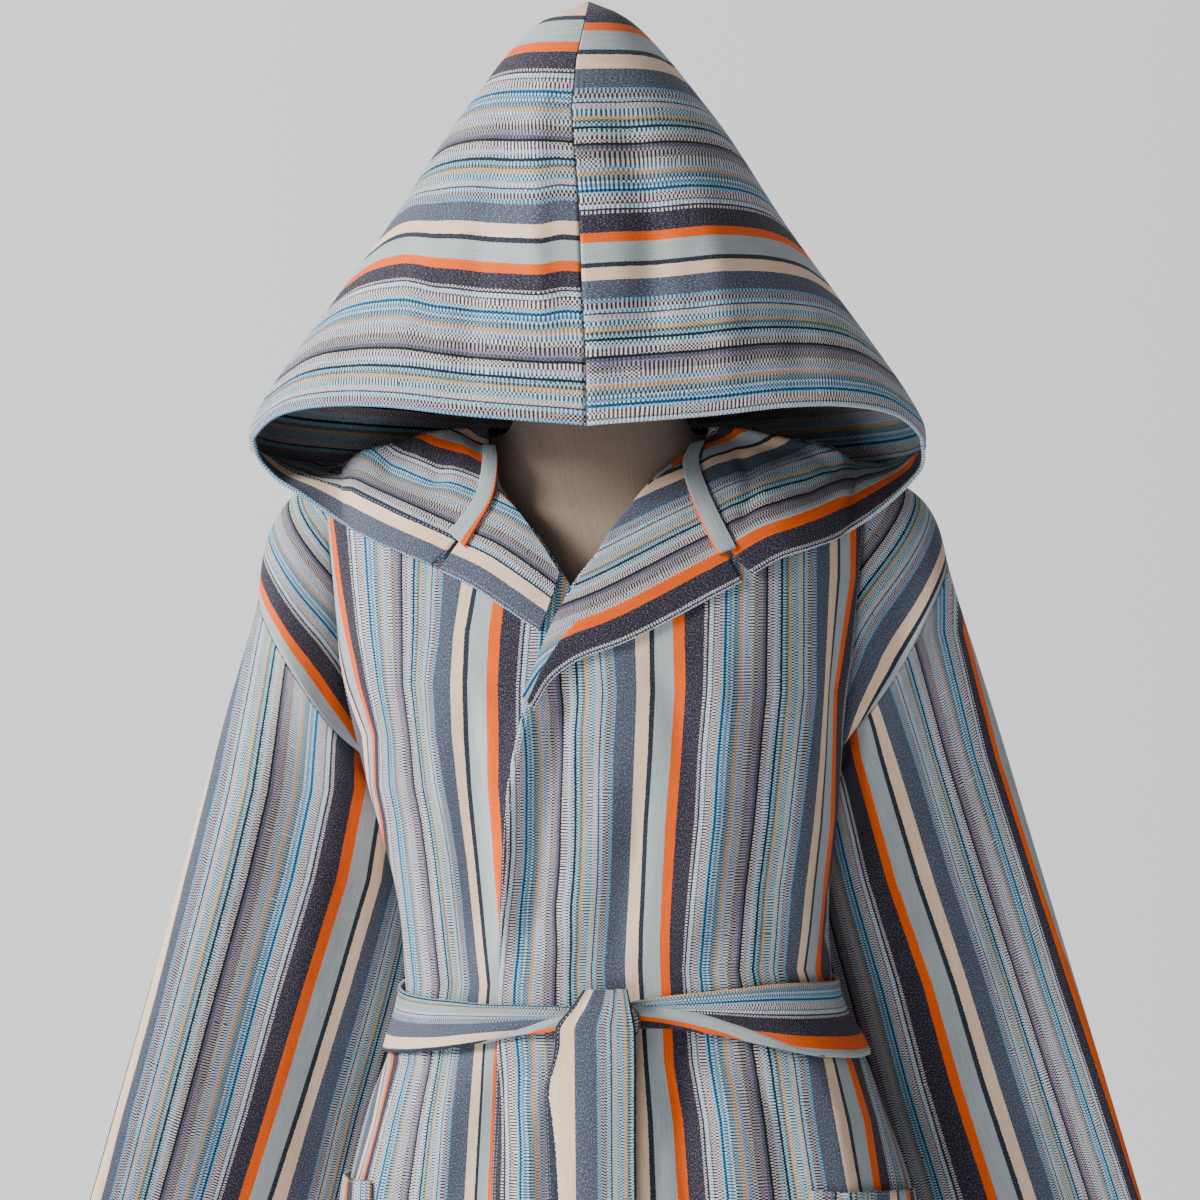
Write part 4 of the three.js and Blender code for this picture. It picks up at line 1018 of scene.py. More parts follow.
YOKE_LEVEL = 1372  # above it the back's rows close up under the neckline
SIDE_GAP = 0.25  # degrees
across = spread(150)[None, :]
start = side_angle(1, LEVELS, True) + SIDE_GAP
end = 360 - side_angle(-1, LEVELS, True) - SIDE_GAP
angle = lerp(start[:, None], end[:, None], across)
inside = np.maximum(0, 1 - (body_point(angle, LEVELS[:, None])[..., 0] / NECK_X) ** 2)
top = SHOULDER_LEVEL - 0.3 - BACK_NECK_DROP * np.sqrt(inside)
levels = LEVELS[:, None]
squeezed = lerp(YOKE_LEVEL, top, (levels - YOKE_LEVEL) / (SHOULDER_LEVEL - YOKE_LEVEL))
points = body_point(angle, np.where(levels <= YOKE_LEVEL, levels, squeezed))
behind = np.maximum(points[..., 1], SHOULDER_Y + SEAM)
points[..., 1] = np.where(levels > CHEST_Z, behind, points[..., 1])
run = arc(points, 1)
middle = np.array([np.interp(0, -row[:, 0], s) for row, s in zip(points, run)])
cloth_piece("back", points, chart_of((run - middle[:, None]) / REPEAT + 0.72, points[..., 2]))
sew(points, "low", 22, radial)

# ---------------------------------------------------------------- pockets
POCKET_HEM_RISE = 0.3
for side, word in ((-1, "right"), (1, "left")):
    v, u = np.meshgrid(spread(44), spread(44), indexing="ij")
    z = lerp(POCKET["bottom"], POCKET["top"], v)
    first, _ = body_at(np.full(z.shape, POCKET[word]), z)
    bow = 1.5 * np.sin(np.pi * u) * smooth(0.8, 1, v)
    points = body_out(first + side * POCKET["reach"] * u, z - POCKET["slope"] * u, POCKET_LIFT + bow)
    chart = chart_of(side * arc(points, 1) / REPEAT + 0.62, points[..., 2])
    cloth_piece("pocket_" + word, points, chart, extra=POCKET_HEM_RISE * smooth(0.86, 0.88, v))
    for edge, away in (("high", 2.0), ("high", 22.5), ("low", 2.0), ("left", 2.0), ("right", 2.0)):
        on_hem = edge == "high" and away < 20
        sew(points, edge, away, radial, CLOTH / 2 + (POCKET_HEM_RISE if on_hem else 0))

# ---------------------------------------------------------------- shoulder bands and sleeves
SLEEVE_NAMES = (0.197, 0.17, 0.105, 0, -0.538, -0.653, -0.713, -0.803, -0.83, -0.895, -1)
GUIDE_SLEEVE_RIGHT = table(
    SLEEVE_NAMES,
    (675, 226, 229, 234, 241, 335, 353, 362, 374, 378, 386, 400),
    (790, 199, 202, 208, 216, 328.6, 351.6, 364, 378, 383, 392, 405),
    (880, 173, 176, 185, 193, 309, 334, 346, 364, 369, 380, 393),
    (995, 144, 148, 156.4, 163, 274.6, 298.7, 310, 330, 335.5, 347, 362),
    (1110, 110, 117, 124, 132, 243.6, 264, 276, 294, 300, 311, 328.6),
    (1195, 84, 92, 102.5, 110.5, 218, 238, 249, 266.6, 272, 286, 308),
)
GUIDE_SLEEVE_LEFT = table(
    (0.462, 0.347, 0.287, 0.197, 0.17, 0.105, 0, -0.538, -0.653, -0.713, -0.803),
    (692, 828, 843, 852.5, 862, 865.5, 873, 891.6, 969.7, 977, 981.6, 988),
    (757, 836, 852.5, 861, 877.5, 883, 895, 913, 985, 994, 998, 1011),
    (880, 864.5, 886, 895, 914.5, 919.6, 933, 951, 1024.7, 1033, 1038, 1044),
    (982, 895, 921.6, 931, 949, 955, 966.5, 986, 1056, 1066.5, 1072.6, 1080),
    (1084, 921.6, 950, 960, 979, 985, 998, 1017.5, 1091, 1100, 1107, 1113.5),
    (1190, 954, 985, 994, 1013.5, 1020.6, 1033, 1052, 1126, 1134, 1140, 1146),
)
SLEEVE_CREASES = {
    -1: [
        (seen((318, 628), (338, 680), (350, 740), (352, 830)), 9, 8, -6, 40),
        (seen((262, 650), (250, 760), (214, 900), (168, 1100), (130, 1280)), 12, 14, 4.5, 90),
        (seen((296, 660), (288, 780), (252, 920), (206, 1120), (176, 1280)), 11, 12, -4.5, 80),
        (seen((330, 720), (318, 860), (284, 990), (240, 1180)), 9, 11, 3.5, 80),
        (seen((352, 860), (328, 980), (300, 1100), (270, 1240)), 7, 9, -3, 70),
    ],
    1: [
        (seen((872, 640), (866, 700), (862, 780), (884, 900)), 8, 9, -6, 40),
        (seen((906, 610), (906, 700), (926, 820), (972, 980), (1030, 1180)), 11, 10, 4, 70),
        (seen((934, 640), (946, 760), (984, 900), (1040, 1080), (1090, 1260)), 10, 12, -4.5, 90),
        (seen((962, 700), (1000, 840), (1052, 1000), (1104, 1180)), 9, 9, 3.5, 80),
        (seen((880, 820), (908, 940), (948, 1080), (984, 1220)), 8, 9, -3.5, 70),
    ],
}
SLEEVE_BACK_CREASES = [
    ([(200, 1320), (236, 1220), (262, 1100), (300, 940)], 12, 12, -5, 80),
    ([(178, 1250), (200, 1140), (226, 1000), (252, 860)], 11, 12, 4, 80),
    ([(240, 1300), (288, 1160), (330, 1000), (366, 860)], 11, 12, 4, 80),
    ([(170, 1220), (184, 1100), (206, 960)], 9, 10, -4, 60),
]


def armhole_point(side, t, beyond, lift):
    bottom = ARMPIT_Z + 1.6 * beyond
    front = t <= 0.5
    fall = np.where(front, t * 2, 2 - t * 2)
    level = lerp(SHOULDER_LEVEL, bottom, (1 - np.cos(np.pi * fall)) / 2)
    edge = np.minimum(89, side_angle(1, np.maximum(level, ARMPIT_Z + 0.1)) + beyond)
    return body_out(side * np.where(front, edge, 180 - edge), level, np.full(np.shape(level), float(lift)))


def sleeve_ring(sections, side, s, t):
    """Points t, from 0 to 1, round the sleeve's section at s, and the sleeve's axis there."""
    outer = curve([row[0] for row in sections])(s)
    inner = curve([row[1] for row in sections])(s)
    halves = [{"k": k, "half": row[2]} for k, row in enumerate(sections)]
    half = column(halves, "half", s * (len(sections) - 1), "k")
    reach, middle = (outer - inner) / 2, (outer + inner) / 2
    front = unit(np.cross(reach, [side * 0.27, 0.12, -0.95])) * half * side
    front = -front if front[1] > 0 else front
    axis = unit(np.cross(reach, front))
    axis = -axis if axis[2] > 0 else axis
    a = 2 * np.pi * np.asarray(t)[:, None]
    return middle + reach * np.cos(a) + front * np.sin(a), axis


def sleeve_creased(side, ring, t, strength):
    out = unit(ring - ring[:-1].mean(0))
    facing = np.sin(2 * np.pi * t)
    front = relief(ring[:, 0], ring[:, 2], SLEEVE_CREASES[side]) * smooth(-0.05, 0.3, facing)
    back = relief(side * ring[:, 0], ring[:, 2], SLEEVE_BACK_CREASES) * smooth(-0.05, 0.3, -facing)
    return ring + out * ((front + back) * strength)[:, None]


for side, word, sections, guide in (
    (-1, "right", SLEEVE_RIGHT, GUIDE_SLEEVE_RIGHT), (1, "left", SLEEVE_LEFT, GUIDE_SLEEVE_LEFT),
):
    t = spread(128) - 0.5
    seam, seam_axis = sleeve_ring(sections, side, 0.0, t)

    def square(points, normals):
        near = np.abs((points - seam[0]) @ seam_axis) < SEAM
        straight = unit(normals - (normals @ seam_axis)[:, None] * seam_axis)
        return np.where(near[:, None], straight, normals)

    lines = [armhole_point(side, t % 1, -2.5, -TUCK)]
    root = armhole_point(side, t % 1, 4, -0.2 * TUCK)
    for way in spread(28):
        crown = CROWN * np.maximum(0, np.cos(2 * np.pi * t)) * np.sin(np.pi * way)
        raised = xyz(side * 0.8 * crown, 0, 0.6 * crown)
        lines.append(lerp(root, seam - seam_axis * 0.5 * SEAM, way) + raised)
    points = np.array(lines)
    run = arc(points, 0)
    from_seam = (run[-1] - run) / REPEAT
    chart = chart_of(0.211 + from_seam if side < 0 else 0.218 - from_seam, arc(points, 1))
    cloth_piece("shoulder_band_" + word, points, chart, adjust=square)
    lines = []
    for s in spread(124):
        ring, axis = sleeve_ring(sections, side, s, t)
        ease = seam_axis * 0.5 * SEAM if s == 0 else 0
        lines.append(sleeve_creased(side, ring, t, smooth(0, 0.06, s)) + ease)
    points = np.array(lines)
    chart = chart_of(guided(points, guide, (t > 0) & (t < 0.5)), arc(points, 0))
    cloth_piece("sleeve_" + word, points, chart, adjust=square)
    sew(points, "high", 22, lambda p: p - p[:, :-1].mean(1, keepdims=True))

# ---------------------------------------------------------------- hood
HOOD_CENTRE = {
    -1: [(-20, 0), (12, C), (22, 0.197), (44, 0.287), (54, 0.347), (74.6, M), (202, 1), (223, 1.105),
         (237, 1.17), (243, 1.197), (263, 1.287), (273.6, 1.347), (292.7, 1.462), (425, 1.995)],
    1: [(-14, 0.51), (22.7, 0.347), (30.6, 0.287), (49.4, 0.197), (54.4, 0.17), (69, 0.105), (89, 0),
        (210.6, -0.538), (233.3, -0.653), (243, -0.713), (263, -0.803), (268, -0.83), (281, -0.895),
        (300.5, -1), (425, -1.533)],
}
HOOD_RIM = {-1: 1.995, 1: -1.533}
HOOD_SEAM_SHIFT = [(0, 1.5), (60, -8), (110, -11), (200, -6), (290, -3.5), (350, -1), (425, 0)]
HOOD_CREASES = [
    (seen((612, 60), (640, 130), (656, 240), (652, 380)), 13, 15, -7, 60),
    (seen((560, 40), (546, 140), (540, 250), (548, 360)), 11, 13, 4.5, 50),
    (seen((520, 90), (492, 200), (474, 320), (462, 420)), 13, 14, -5, 50),
    (seen((690, 130), (716, 240), (728, 340), (716, 420)), 14, 14, 4.5, 60),
    (seen((780, 250), (800, 330), (806, 410)), 12, 14, -4, 40),
    (seen((438, 210), (410, 300), (392, 400)), 12, 14, 4, 50),
    (seen((366, 290), (346, 350), (330, 410)), 11, 12, -4, 40),
    (seen((596, 270), (600, 340), (590, 425)), 12, 12, 3, 40),
]
LIP_CREASES = {
    -1: [
        (seen((362, 452), (392, 470), (424, 476), (452, 462)), 8, 10, -6, 18),
        (seen((398, 452), (424, 440), (456, 440), (482, 462)), 8, 9, 5, 14),
        (seen((312, 470), (352, 492), (400, 508), (440, 524)), 9, 9, 3.5, 30),
        (seen((290, 455), (312, 462), (340, 458)), 7, 8, -4, 12),
    ],
    1: [
        (seen((720, 500), (760, 486), (800, 462), (840, 440)), 9, 10, 4.5, 30),
        (seen((735, 530), (752, 500), (752, 470), (742, 440)), 6, 7, -4, 16),
        (seen((790, 500), (836, 476), (872, 448)), 9, 9, -4, 24),
        (seen((826, 500), (862, 478), (894, 446)), 8, 8, 3.5, 20),
    ],
}
HEM_WIDTH = {-1: 27.5, 1: 29.0}


def tent_point(side, angle, z):
    half, front, back = (column(TENT, name, z) for name in ("half", "front", "back"))
    a = np.radians(angle)
    y = (front + back) / 2 - (back - front) / 2 * np.cos(a)
    return xyz(HOOD_X + side * (half * np.sin(a) + SEAM / 2), y, z)


def tent_edge_z(angle):
    return column(TENT_EDGE, "z", angle, "angle")


def coons(start, end, low, high, u, v):
    a, b, c, d = start(0.0), end(0.0), start(1.0), end(1.0)
    uu, vv = u[..., None], v[..., None]
    return (
        start(v) * (1 - uu) + end(v) * uu + low(u) * (1 - vv) + high(u) * vv
        - a * (1 - uu) * (1 - vv) - b * uu * (1 - vv) - c * (1 - uu) * vv - d * uu * vv
    )


def along_rows(points, reach, count, rest):
    """Each row's points again: count steps over its first reach millimetres and rest steps over the rest."""
    run = arc(points, 1)
    rows_out = []
    for line, s in zip(points, run):
        cut = min(reach, 0.6 * s[-1])
        at = np.concatenate([np.linspace(0, cut, count + 1), np.linspace(cut, s[-1], rest + 1)[1:]])
        rows_out.append(np.stack([np.interp(at, s, line[:, i]) for i in range(3)], -1))
    return np.array(rows_out)


def hemmed(cloth, side, points, count, along, other_first=True):
    """A panel whose first columns are a hem that is turned back over it, with the stripes reversed."""
    run = arc(points, 1) / REPEAT
    rim = HOOD_RIM[side]
    plain = chart_of(rim + side * run, along)
    turned = chart_of(rim - side * run, along)
    cols = slice(0, count + 1)
    outer, inner = (plain, turned) if other_first else (turned, plain)
    doubled = np.arange(count + 1) < count
    thick = np.broadcast_to(np.where(doubled, HEM_RISE, 0.0), (points.shape[0], count + 1))
    cloth.grid(points[:, cols], outer[:, cols], inner[:, cols], thick)
    cloth.grid(points[:, count:], plain[:, count:])


def hood_half(side, name):
    cloth = Cloth()
    angles = np.concatenate([np.linspace(0, CORNER_ANGLE, 76)[:-1], np.linspace(CORNER_ANGLE, 180, 60)])
    v, angle = np.meshgrid(spread(112), angles, indexing="ij")
    z = lerp(HOOD_PEAK_Z, tent_edge_z(angle), v ** 0.9)
    points = tent_point(side, angle, z)
    px, py = projected(points[:, :1])
    seen_x = projected(points)[0]
    late = 6.5 * (1 - smooth(540, 572, seen_x)) * smooth(400, 440, seen_x)
    late = late * smooth(130, 200, py) * (1 - smooth(300, 400, py))
    across = np.interp(py - late * (side < 0), *zip(*HOOD_CENTRE[side]))
    chart = chart_of(across, angle * 2.5 * (0.2 + v))
    raw = points.copy()
    facing = 1 - smooth(70, 88, angle)
    out = grid_normals(raw)
    out = out * np.sign((out * (raw - [HOOD_X, 0, 1450])).sum(-1))[..., None]
    fade = smooth(0, 0.12, v)
    height = relief(raw[..., 0], raw[..., 2], HOOD_CREASES) * facing * fade
    points = raw + out * [0, 1, 0] * height[..., None]
    shift = np.interp(projected(raw)[1], *zip(*HOOD_SEAM_SHIFT))
    points[..., 0] += shift * np.exp(-(((raw[..., 0] - HOOD_X) / 60) ** 2)) * facing
    cloth.grid(points, chart)
    front_edge = points[:, :76]

    def outward(p):
        return p - [HOOD_X, 20, 0]

    sew(front_edge, "high", 1.0, outward, pitch=2.6, long=1.9, wide=0.6)
    sew(front_edge, "high", HEM_WIDTH[side] - 1.5, outward, where=lambda p: p[:, 2] < 1540)

    def fold(u):
        at = lerp(CORNER_ANGLE, 180, np.asarray(u, float))
        return tent_point(side, at, tent_edge_z(at))

    seam_lift = LAYER + 1.2
    seam_start = [on_front(x, z, seam_lift) for x, z in NECK_SEAM[side]]
    back_seam = [(side * x if x else HOOD_X + side * SEAM / 2, y, z) for x, y, z in NECK_BACK]
    neck_seam = curve([*seam_start, *back_seam])
    lip = curve([fold(0.0), *LIP[side], seam_start[0]])
    middle = (fold(1.0) + neck_seam(1.0)) / 2 + np.array([0, 4, 3])
    last = curve([fold(1.0), middle, neck_seam(1.0)])
    v, u = np.meshgrid(spread(64), spread(90), indexing="ij")
    points = coons(lip, last, fold, neck_seam, u, v)
    inside = np.sin(np.pi * v) * np.minimum(1, 4 * u) * np.minimum(1, 3 * (1 - u))
    raised = points + xyz(0, -5 * inside * (1 - u), 5 * inside)
    held_off = np.minimum(1, np.minimum(5 * (1 - v), 5 * v + 0.6))
    cleared = clear_of_body(raised, seam_lift + CLEAR * held_off)
    free = (v > 0) & (v < 1)
    points = np.where(free[..., None], np.where((u < 1)[..., None], cleared, raised), points)
    points = along_rows(points, HEM_WIDTH[side], 16, 70)
    away, down = arc(points, 1), np.linspace(0, 1, points.shape[0])[:, None]
    flare = 8 * smooth(0, 26, away) * (1 - smooth(26, 80, away))
    flare = flare * smooth(0, 0.1, down) * (1 - smooth(0.3, 0.6, down))
    points = points + xyz(-side, 0.3, 0.2) * flare[..., None]
    out = grid_normals(points)
    out = out * np.sign(-out[..., 1:2] * 0.7 + out[..., 2:] * 0.7)
    height = relief(points[..., 0], points[..., 2], LIP_CREASES[side]) * (1 - smooth(150, 230, away))
    edges = np.minimum(smooth(0, 30, away), np.minimum(smooth(0, 0.12, down), 1 - smooth(0.86, 1, down)))
    points = points + out * (height * edges)[..., None]
    hemmed(cloth, side, points, 16, arc(points, 0), side < 0)
    hem_face = CLOTH / 2 + HEM_RISE
    sew(points, "left", 1.0, upward, hem_face, 2.6, 1.9, 0.6)
    sew(points, "left", HEM_WIDTH[side] - 1.5, upward, hem_face, where=lambda p: p[:, 1] < 20)

    def square(p, normals):
        near = np.isin(np.round(p[:, 2], 2), seam_heights) & (np.abs(p[:, 0] - HOOD_X) < 14)
        straight = unit(normals * [0, 1, 1])
        return np.where(near[:, None], straight, normals)

    seams = np.concatenate([raw[:, 0, 2], raw[:, -1, 2], points[:, -1, 2]])
    seam_heights = np.unique(np.round(seams, 2))
    ride(cloth.build("robe_" + name, CLOTH, STRIPED, square), "robe_body", name)


hood_half(-1, "hood_right")
hood_half(1, "hood_left")


# ---------------------------------------------------------------- lapels and neck tapes
def strip(outer, inner, u, v):
    a = curve([(x, 0, z) for x, z in outer])(v)
    b = curve([(x, 0, z) for x, z in inner])(v)
    p = lerp(a, b, u[..., None])
    return p[..., 0], p[..., 2]


v, u = np.meshgrid(spread(84), spread(60), indexing="ij")
bulge = LAYER + 0.4 + 2.5 * np.sin(np.pi * u) * np.sin(np.pi * v)
for side, word, lift in ((-1, "right", bulge), (1, "left", bulge + 1.6 * v)):
    x, z = strip(*LAPEL[side], u, v)
    hem = HEM_WIDTH[side] * 0.95
    points = along_rows(on_front(x, z, lift), hem, 18, 30)
    cloth = Cloth()
    hemmed(cloth, side, points, 18, arc(points, 0), side < 0)
    ride(cloth.build("robe_lapel_" + word, CLOTH, STRIPED), "robe_body", "lapel_" + word)
    for away, wide in ((0.9, 0.95), (3.4, 0.55)):
        sew(points, "left", away, upward, CLOTH / 2 + HEM_RISE, 2.3, 1.9, wide)
    sew(points, "left", hem - 1.5, upward, CLOTH / 2 + HEM_RISE)
v, u = np.meshgrid(spread(60), spread(10), indexing="ij")
for side, word, start in ((-1, "right", 0.203), (1, "left", 0.186)):
    x, z = strip(*TAPE[side], u, v)
    points = on_front(x, z, 2 * LAYER + 1.3 + 0.4 * np.sin(np.pi * u))
    chart = chart_of(start + arc(points, 1) / REPEAT, arc(points, 0))
    cloth_piece("neck_tape_" + word, points, chart, slot="neck_tape")
    for edge in ("left", "right"):
        sew(points, edge, 1.3, upward, wide=0.45)

# ---------------------------------------------------------------- belt
# Turns between which the belt lies flat. Beyond them its lower edge rolls over and shows its other face.
ROLL_RIGHT, ROLL_LEFT = 0.078, 0.862
BELT_WIDTH = 54
BELT_SEWN = 2.2  # from the belt's edge


def belt_surface(u, v):
    bottom, top = column(BELT, "bottom", u, "turn"), column(BELT, "top", u, "turn")
    z = lerp(bottom - 4 * smooth(0.03, 0.12, u) * (1 - smooth(0.86, 0.95, u)), top, v)
    right = 0.9 * np.sin(14 * v + 60 * u) * smooth(0.14, 0.02, u)
    left = 0.9 * np.sin(13 * v - 50 * u) * smooth(0.84, 0.97, u)
    return z, BELT_LIFT + 2.5 * np.sin(np.pi * v) + (right + left)


def belt_grid(cloth, first, last, count, low, high, chart_at, lift_more, rows_up):
    u, v = np.meshgrid(np.linspace(first, last, count + 1), spread(rows_up), indexing="ij")
    v = lerp(low(u), high(u), v)
    z, lift = belt_surface(u, v)
    points = body_out(BELT_START - BELT_TURN * u, z, lift + lift_more(u, v))
    cloth.grid(points, chart_of(chart_at(u, v), -BELT_TURN * u * 2.75))
    return points


belt = Cloth()
WIDE = BELT_WIDTH / REPEAT


def roll_right(u):
    return 1 - smooth(-0.3, 1.0, u / ROLL_RIGHT)


def roll_left(u):
    return 1 - smooth(-0.3, 1.0, (1 - u) / (1 - ROLL_LEFT))


def face_right(u, v):
    return 0.185 - WIDE * v


def face_left(u, v):
    return 0.255 + WIDE * v


def rolled(first, last, count, roll):
    """The part of the belt's lower edge that is turned over between two turns."""
    def chart_at(u, v):
        return 0.2 + WIDE * (roll(u) - v) * 0.8

    def lift_more(u, v):
        return 2.4 * np.sqrt(np.clip((roll(u) - v) * 6, 0, 1))

    belt_grid(belt, first, last, count, none, roll, chart_at, lift_more, 20)


hems = [belt_grid(belt, 0, ROLL_RIGHT, 60, roll_right, whole, face_right, none, 20)]
rolled(0, ROLL_RIGHT, 60, roll_right)
middle_grids = [
    belt_grid(belt, ROLL_RIGHT, 0.5, 150, none, whole, face_right, none, 20),
    belt_grid(belt, 0.5, ROLL_LEFT, 150, none, whole, face_left, none, 20),
]
rolled(ROLL_LEFT, 1, 84, roll_left)
hems.append(belt_grid(belt, ROLL_LEFT, 1, 84, roll_left, whole, face_left, none, 20))
ride(belt.build("robe_belt_wrap", BELT_CLOTH, STRIPED), "robe_body", "belt_wrap")
for points in hems + middle_grids:
    sew(points, "right", BELT_SEWN, radial, BELT_CLOTH / 2, wide=0.5)
for points in middle_grids:
    sew(points, "left", BELT_SEWN, radial, BELT_CLOTH / 2, wide=0.5)

v, u = np.meshgrid(spread(48), spread(64), indexing="ij")
a, b = 2 * np.pi * u, np.pi * v
centre = on_front(KNOT["x"], KNOT["z"], KNOT["lift"])
pleat = 1 + 0.06 * np.sin(7 * a) * np.sin(b) ** 2
points = centre + np.stack([
    KNOT["half"][0] * np.sin(b) * np.cos(a) * pleat, KNOT["half"][1] * np.sin(b) * np.sin(a) * pleat,
    -KNOT["half"][2] * np.cos(b),
], -1)
raw, quads = points.reshape(-1, 3), grid_quads(points)
first, index = merged(raw)
chart = chart_of(0.1 - 0.35 * u, v * 50).reshape(-1, 2)
knot = mesh_object("robe_belt_knot", raw[first], index[quads], chart[quads], STRIPED)
ride(knot, "robe_body", "belt_knot")


def belt_end(sections, x, u, v, gather):
    k = v * (len(sections) - 1)
    width, z, lift, shift = (column(sections, name, k, "k") for name in ("width", "z", "lift", "shift"))
    fan = 1.6 * np.cos(3 * 2 * np.pi * u + 0.5) + 0.8 * np.sin(5 * 2 * np.pi * u)
    fan = gather * fan * np.exp(-v * 5)
    fall = 1.2 * np.sin(2 * np.pi * (u - 0.12)) * smooth(0.25, 0.6, v)
    bow = np.sin(np.pi * u)
    return on_front(x + shift + width * (u - 0.5), z, lift + 2 * bow + fan * bow + fall)


v, u = np.meshgrid(spread(130), spread(30), indexing="ij")
for word, sections, gather in (("top", BELT_END_TOP, 1), ("under", BELT_END_UNDER, 0)):
    points = belt_end(sections, KNOT["x"] - 10, u, v, gather)
    cloth_piece("belt_end_" + word, points, chart_of(0.19 - WIDE * u, arc(points, 0)), BELT_CLOTH)
    for edge in ("left", "right"):
        sew(points, edge, BELT_SEWN, radial, BELT_CLOTH / 2, wide=0.5)

n = Nodes("sewing_thread")
place = n.add("ShaderNodeTexCoord").outputs["Object"]
twist = n.speck(place, 1600.0, 2.0)
shade = n.tint("C3CCD4", n.range(twist, 0.3, 0.7, 0.85, 1.1))
THREAD = n.finish(shade, 0.8, twist, 0.0002)
ride(stitched("robe_stitches", THREAD), "robe_body")

# ---------------------------------------------------------------- dress form
FORM_FOOT = 850
u, v = np.meshgrid(spread(120), spread(90), indexing="ij")
torso = body_point(360 * u.T, lerp(FORM_FOOT, SHOULDER_LEVEL, v.T), FORM, FORM_DROP)
cap = body_point(360 * spread(120), np.full(121, float(FORM_FOOT)), FORM, FORM_DROP)
cap = lerp(cap.mean(0), cap, spread(20)[:, None, None])


def lathe(profile, centre_x, centre_y, flatness=1.0, count=96):
    """A turned form: profile is (radius, height), read in order."""
    p = np.array(profile, float)
    a = 2 * np.pi * spread(count)
    x, y = centre_x + p[:, :1] * np.cos(a), centre_y + p[:, :1] * np.sin(a) * flatness
    return xyz(x, y, p[:, 1:] + 0 * a)


neck_line = curve([(76, 0, 1395), (74, 0, 1440), (67, 0, 1458), (60, 0, 1478), (57, 0, 1508)])(spread(40))
neck = lathe(np.vstack([[(0.01, 1395)], neck_line[:, [0, 2]], [(56, 1530), (0.01, 1530)]]), 0, -6, 0.86)
a, b = np.meshgrid(2 * np.pi * spread(90), np.pi * spread(60))
head = np.array([-8, 11, 1620]) + np.stack([
    84 * np.sin(b) * np.cos(a), 101 * np.sin(b) * np.sin(a), -134 * np.cos(b),
], -1)
head[..., 2] = np.maximum(head[..., 2], 1508.4)
form = solid_of("dress_form", (torso, cap, neck, head), FORM_CLOTH, 100)


def apply(piece, kind, **settings):
    modifier = piece.modifiers.new(kind, kind)
    for key, value in settings.items():
        setattr(modifier, key, value)
    with bpy.context.temp_override(object=piece, active_object=piece, selected_objects=[piece]):
        bpy.ops.object.modifier_apply(modifier=modifier.name)


apply(form, "REMESH", mode="VOXEL", voxel_size=0.006, use_smooth_shade=True)
apply(form, "SMOOTH", factor=0.5, iterations=8)
ride(form, "form_cover", "form_torso", "form_head")

# ---------------------------------------------------------------- stand
n = Nodes("powder_coat")
place = n.add("ShaderNodeTexCoord").outputs["Object"]
grain = n.speck(place, 900.0, 2.0)
scuff = n.speck(place, 14.0, 4.0)
shade = n.tint("26262A", n.range(scuff, 0.3, 0.7, 0.85, 1.2))
COAT = n.finish(shade, n.range(scuff, 0.3, 0.7, 0.38, 0.55), grain, 0.0002, 0.0, 0.3, 0.5)
base = lathe([(0.01, 0), (212, 0), (214.4, 0.6), (215, 2.5), (215, 9), (214, 12), (212, 13.6), (209.5, 14),
              (17, 14), (15.5, 14.2), (0.01, 14.2)], 0, 0, 1, 160)
pole = lathe([(0.01, 14.4), (13.4, 14.4), (14, 15), (14, 849), (13.4, 849.6), (0.01, 849.6)], 0, 0, 1, 64)
for name, grid in (("stand_base", base), ("stand_pole", pole)):
    ride(solid_of("turned_" + name, (grid,), COAT), "stand_metal", name)

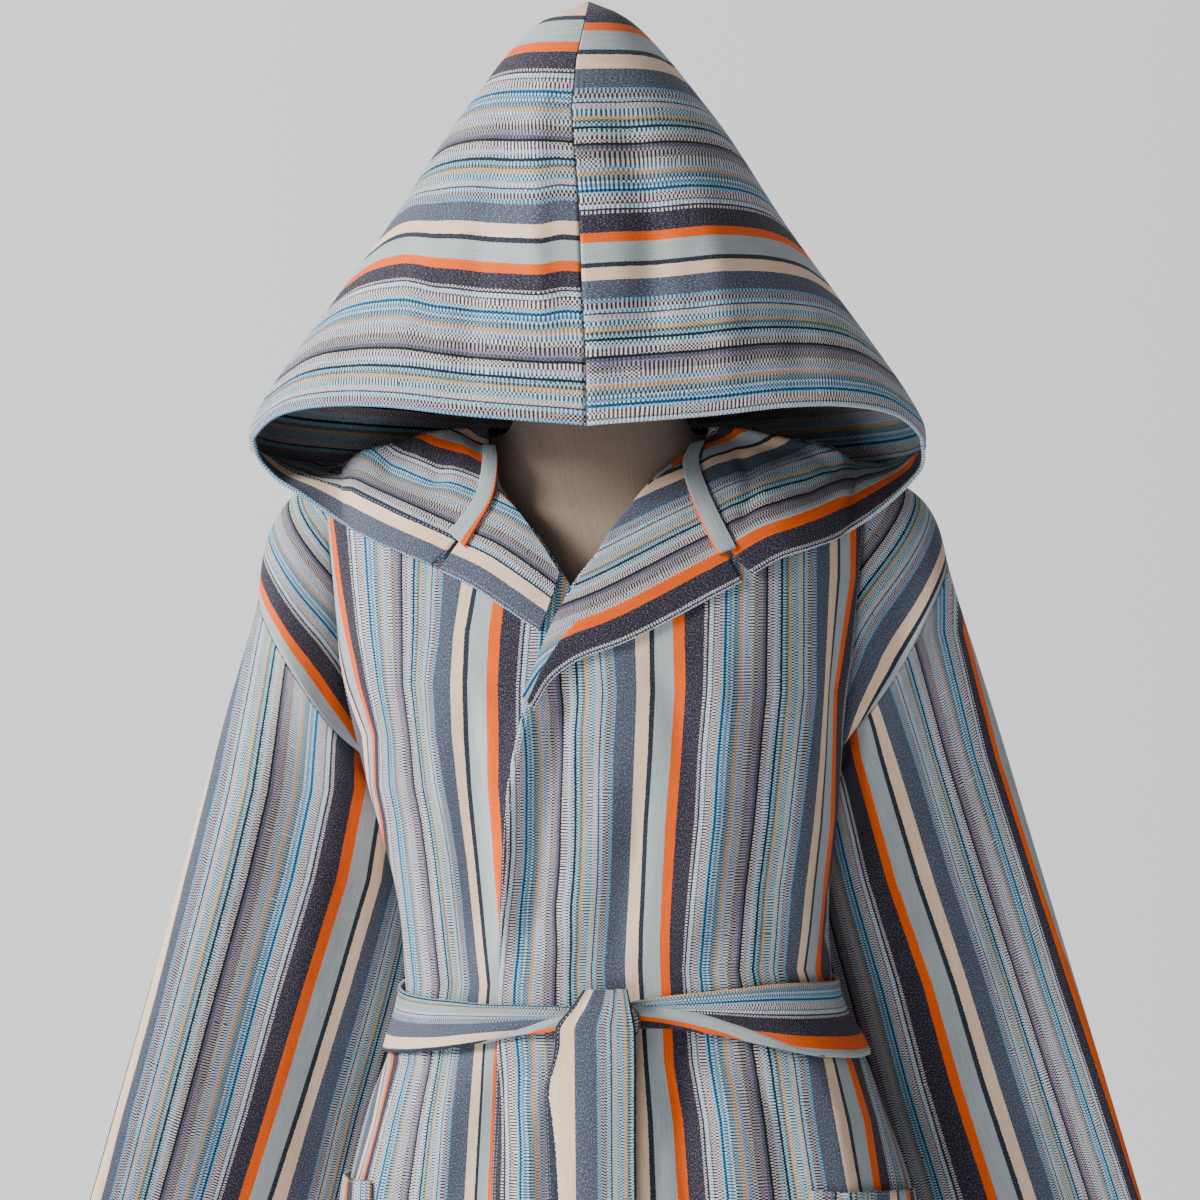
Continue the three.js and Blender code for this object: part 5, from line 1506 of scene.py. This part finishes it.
# ---------------------------------------------------------------- stage, light and camera
n = Nodes("pale_floor")
place = n.add("ShaderNodeTexCoord").outputs["Object"]
cloud = n.speck(place, 3.0, 2.0)
shade = n.tint("E9E9EB", n.range(cloud, 0.2, 0.8, 0.98, 1.02))
FLOOR = n.finish(shade, 0.8, cloud, 0.0002, 0.0, 0.1)
bpy.ops.mesh.primitive_plane_add(size=5)
floor = bpy.context.object
floor.name = "floor"
floor.data.materials.append(FLOOR)
world = bpy.data.worlds.new("studio")
bpy.context.scene.world = world
world.use_nodes = True
tree = world.node_tree
facing = tree.nodes.new("ShaderNodeSeparateXYZ")
tree.links.new(tree.nodes.new("ShaderNodeTexCoord").outputs["Generated"], facing.inputs[0])
for index, low, high in ((0, 0.28, -0.42), (1, 0.42, 1.28)):
    strength = tree.nodes.new("ShaderNodeMapRange")
    strength.interpolation_type = "SMOOTHSTEP"
    tree.links.new(facing.outputs[index], strength.inputs[0])
    for socket, value in zip(strength.inputs[1:5], (-0.8, 0.8, low, high)):
        socket.default_value = value
    if index == 0:
        beside = strength
total = tree.nodes.new("ShaderNodeMath")
tree.links.new(beside.outputs[0], total.inputs[0])
tree.links.new(strength.outputs[0], total.inputs[1])
tree.nodes["Background"].inputs[0].default_value = (0.965, 0.972, 1.0, 1)
tree.links.new(total.outputs[0], tree.nodes["Background"].inputs[1])


def area_light(name, location, target, size, power, color=(1, 1, 1)):
    data = bpy.data.lights.new(name, "AREA")
    data.shape, data.size, data.energy, data.color = "SQUARE", size, power, color
    lamp = bpy.data.objects.new(name, data)
    bpy.context.scene.collection.objects.link(lamp)
    lamp.location = location
    lamp.rotation_euler = (Vector(target) - Vector(location)).to_track_quat("-Z", "Y").to_euler()


area_light("key", (-2.9, -1.6, 2.6), (0, 0, 1.3), 1.0, 250, (1, 0.985, 0.955))
area_light("fill", (-0.7, -2.5, 0.35), (-0.15, -0.1, 1.4), 1.2, 32, (0.95, 0.97, 1))

camera = bpy.data.objects.new("camera", bpy.data.cameras.new("camera"))
bpy.context.scene.collection.objects.link(camera)
camera.location = (0, -CAMERA_DISTANCE / 1000, CAMERA_HEIGHT / 1000)
camera.rotation_euler = (np.pi / 2, 0, 0)
camera.data.lens = CAMERA_LENS
camera.data.sensor_width = CAMERA_SENSOR
bpy.context.scene.camera = camera
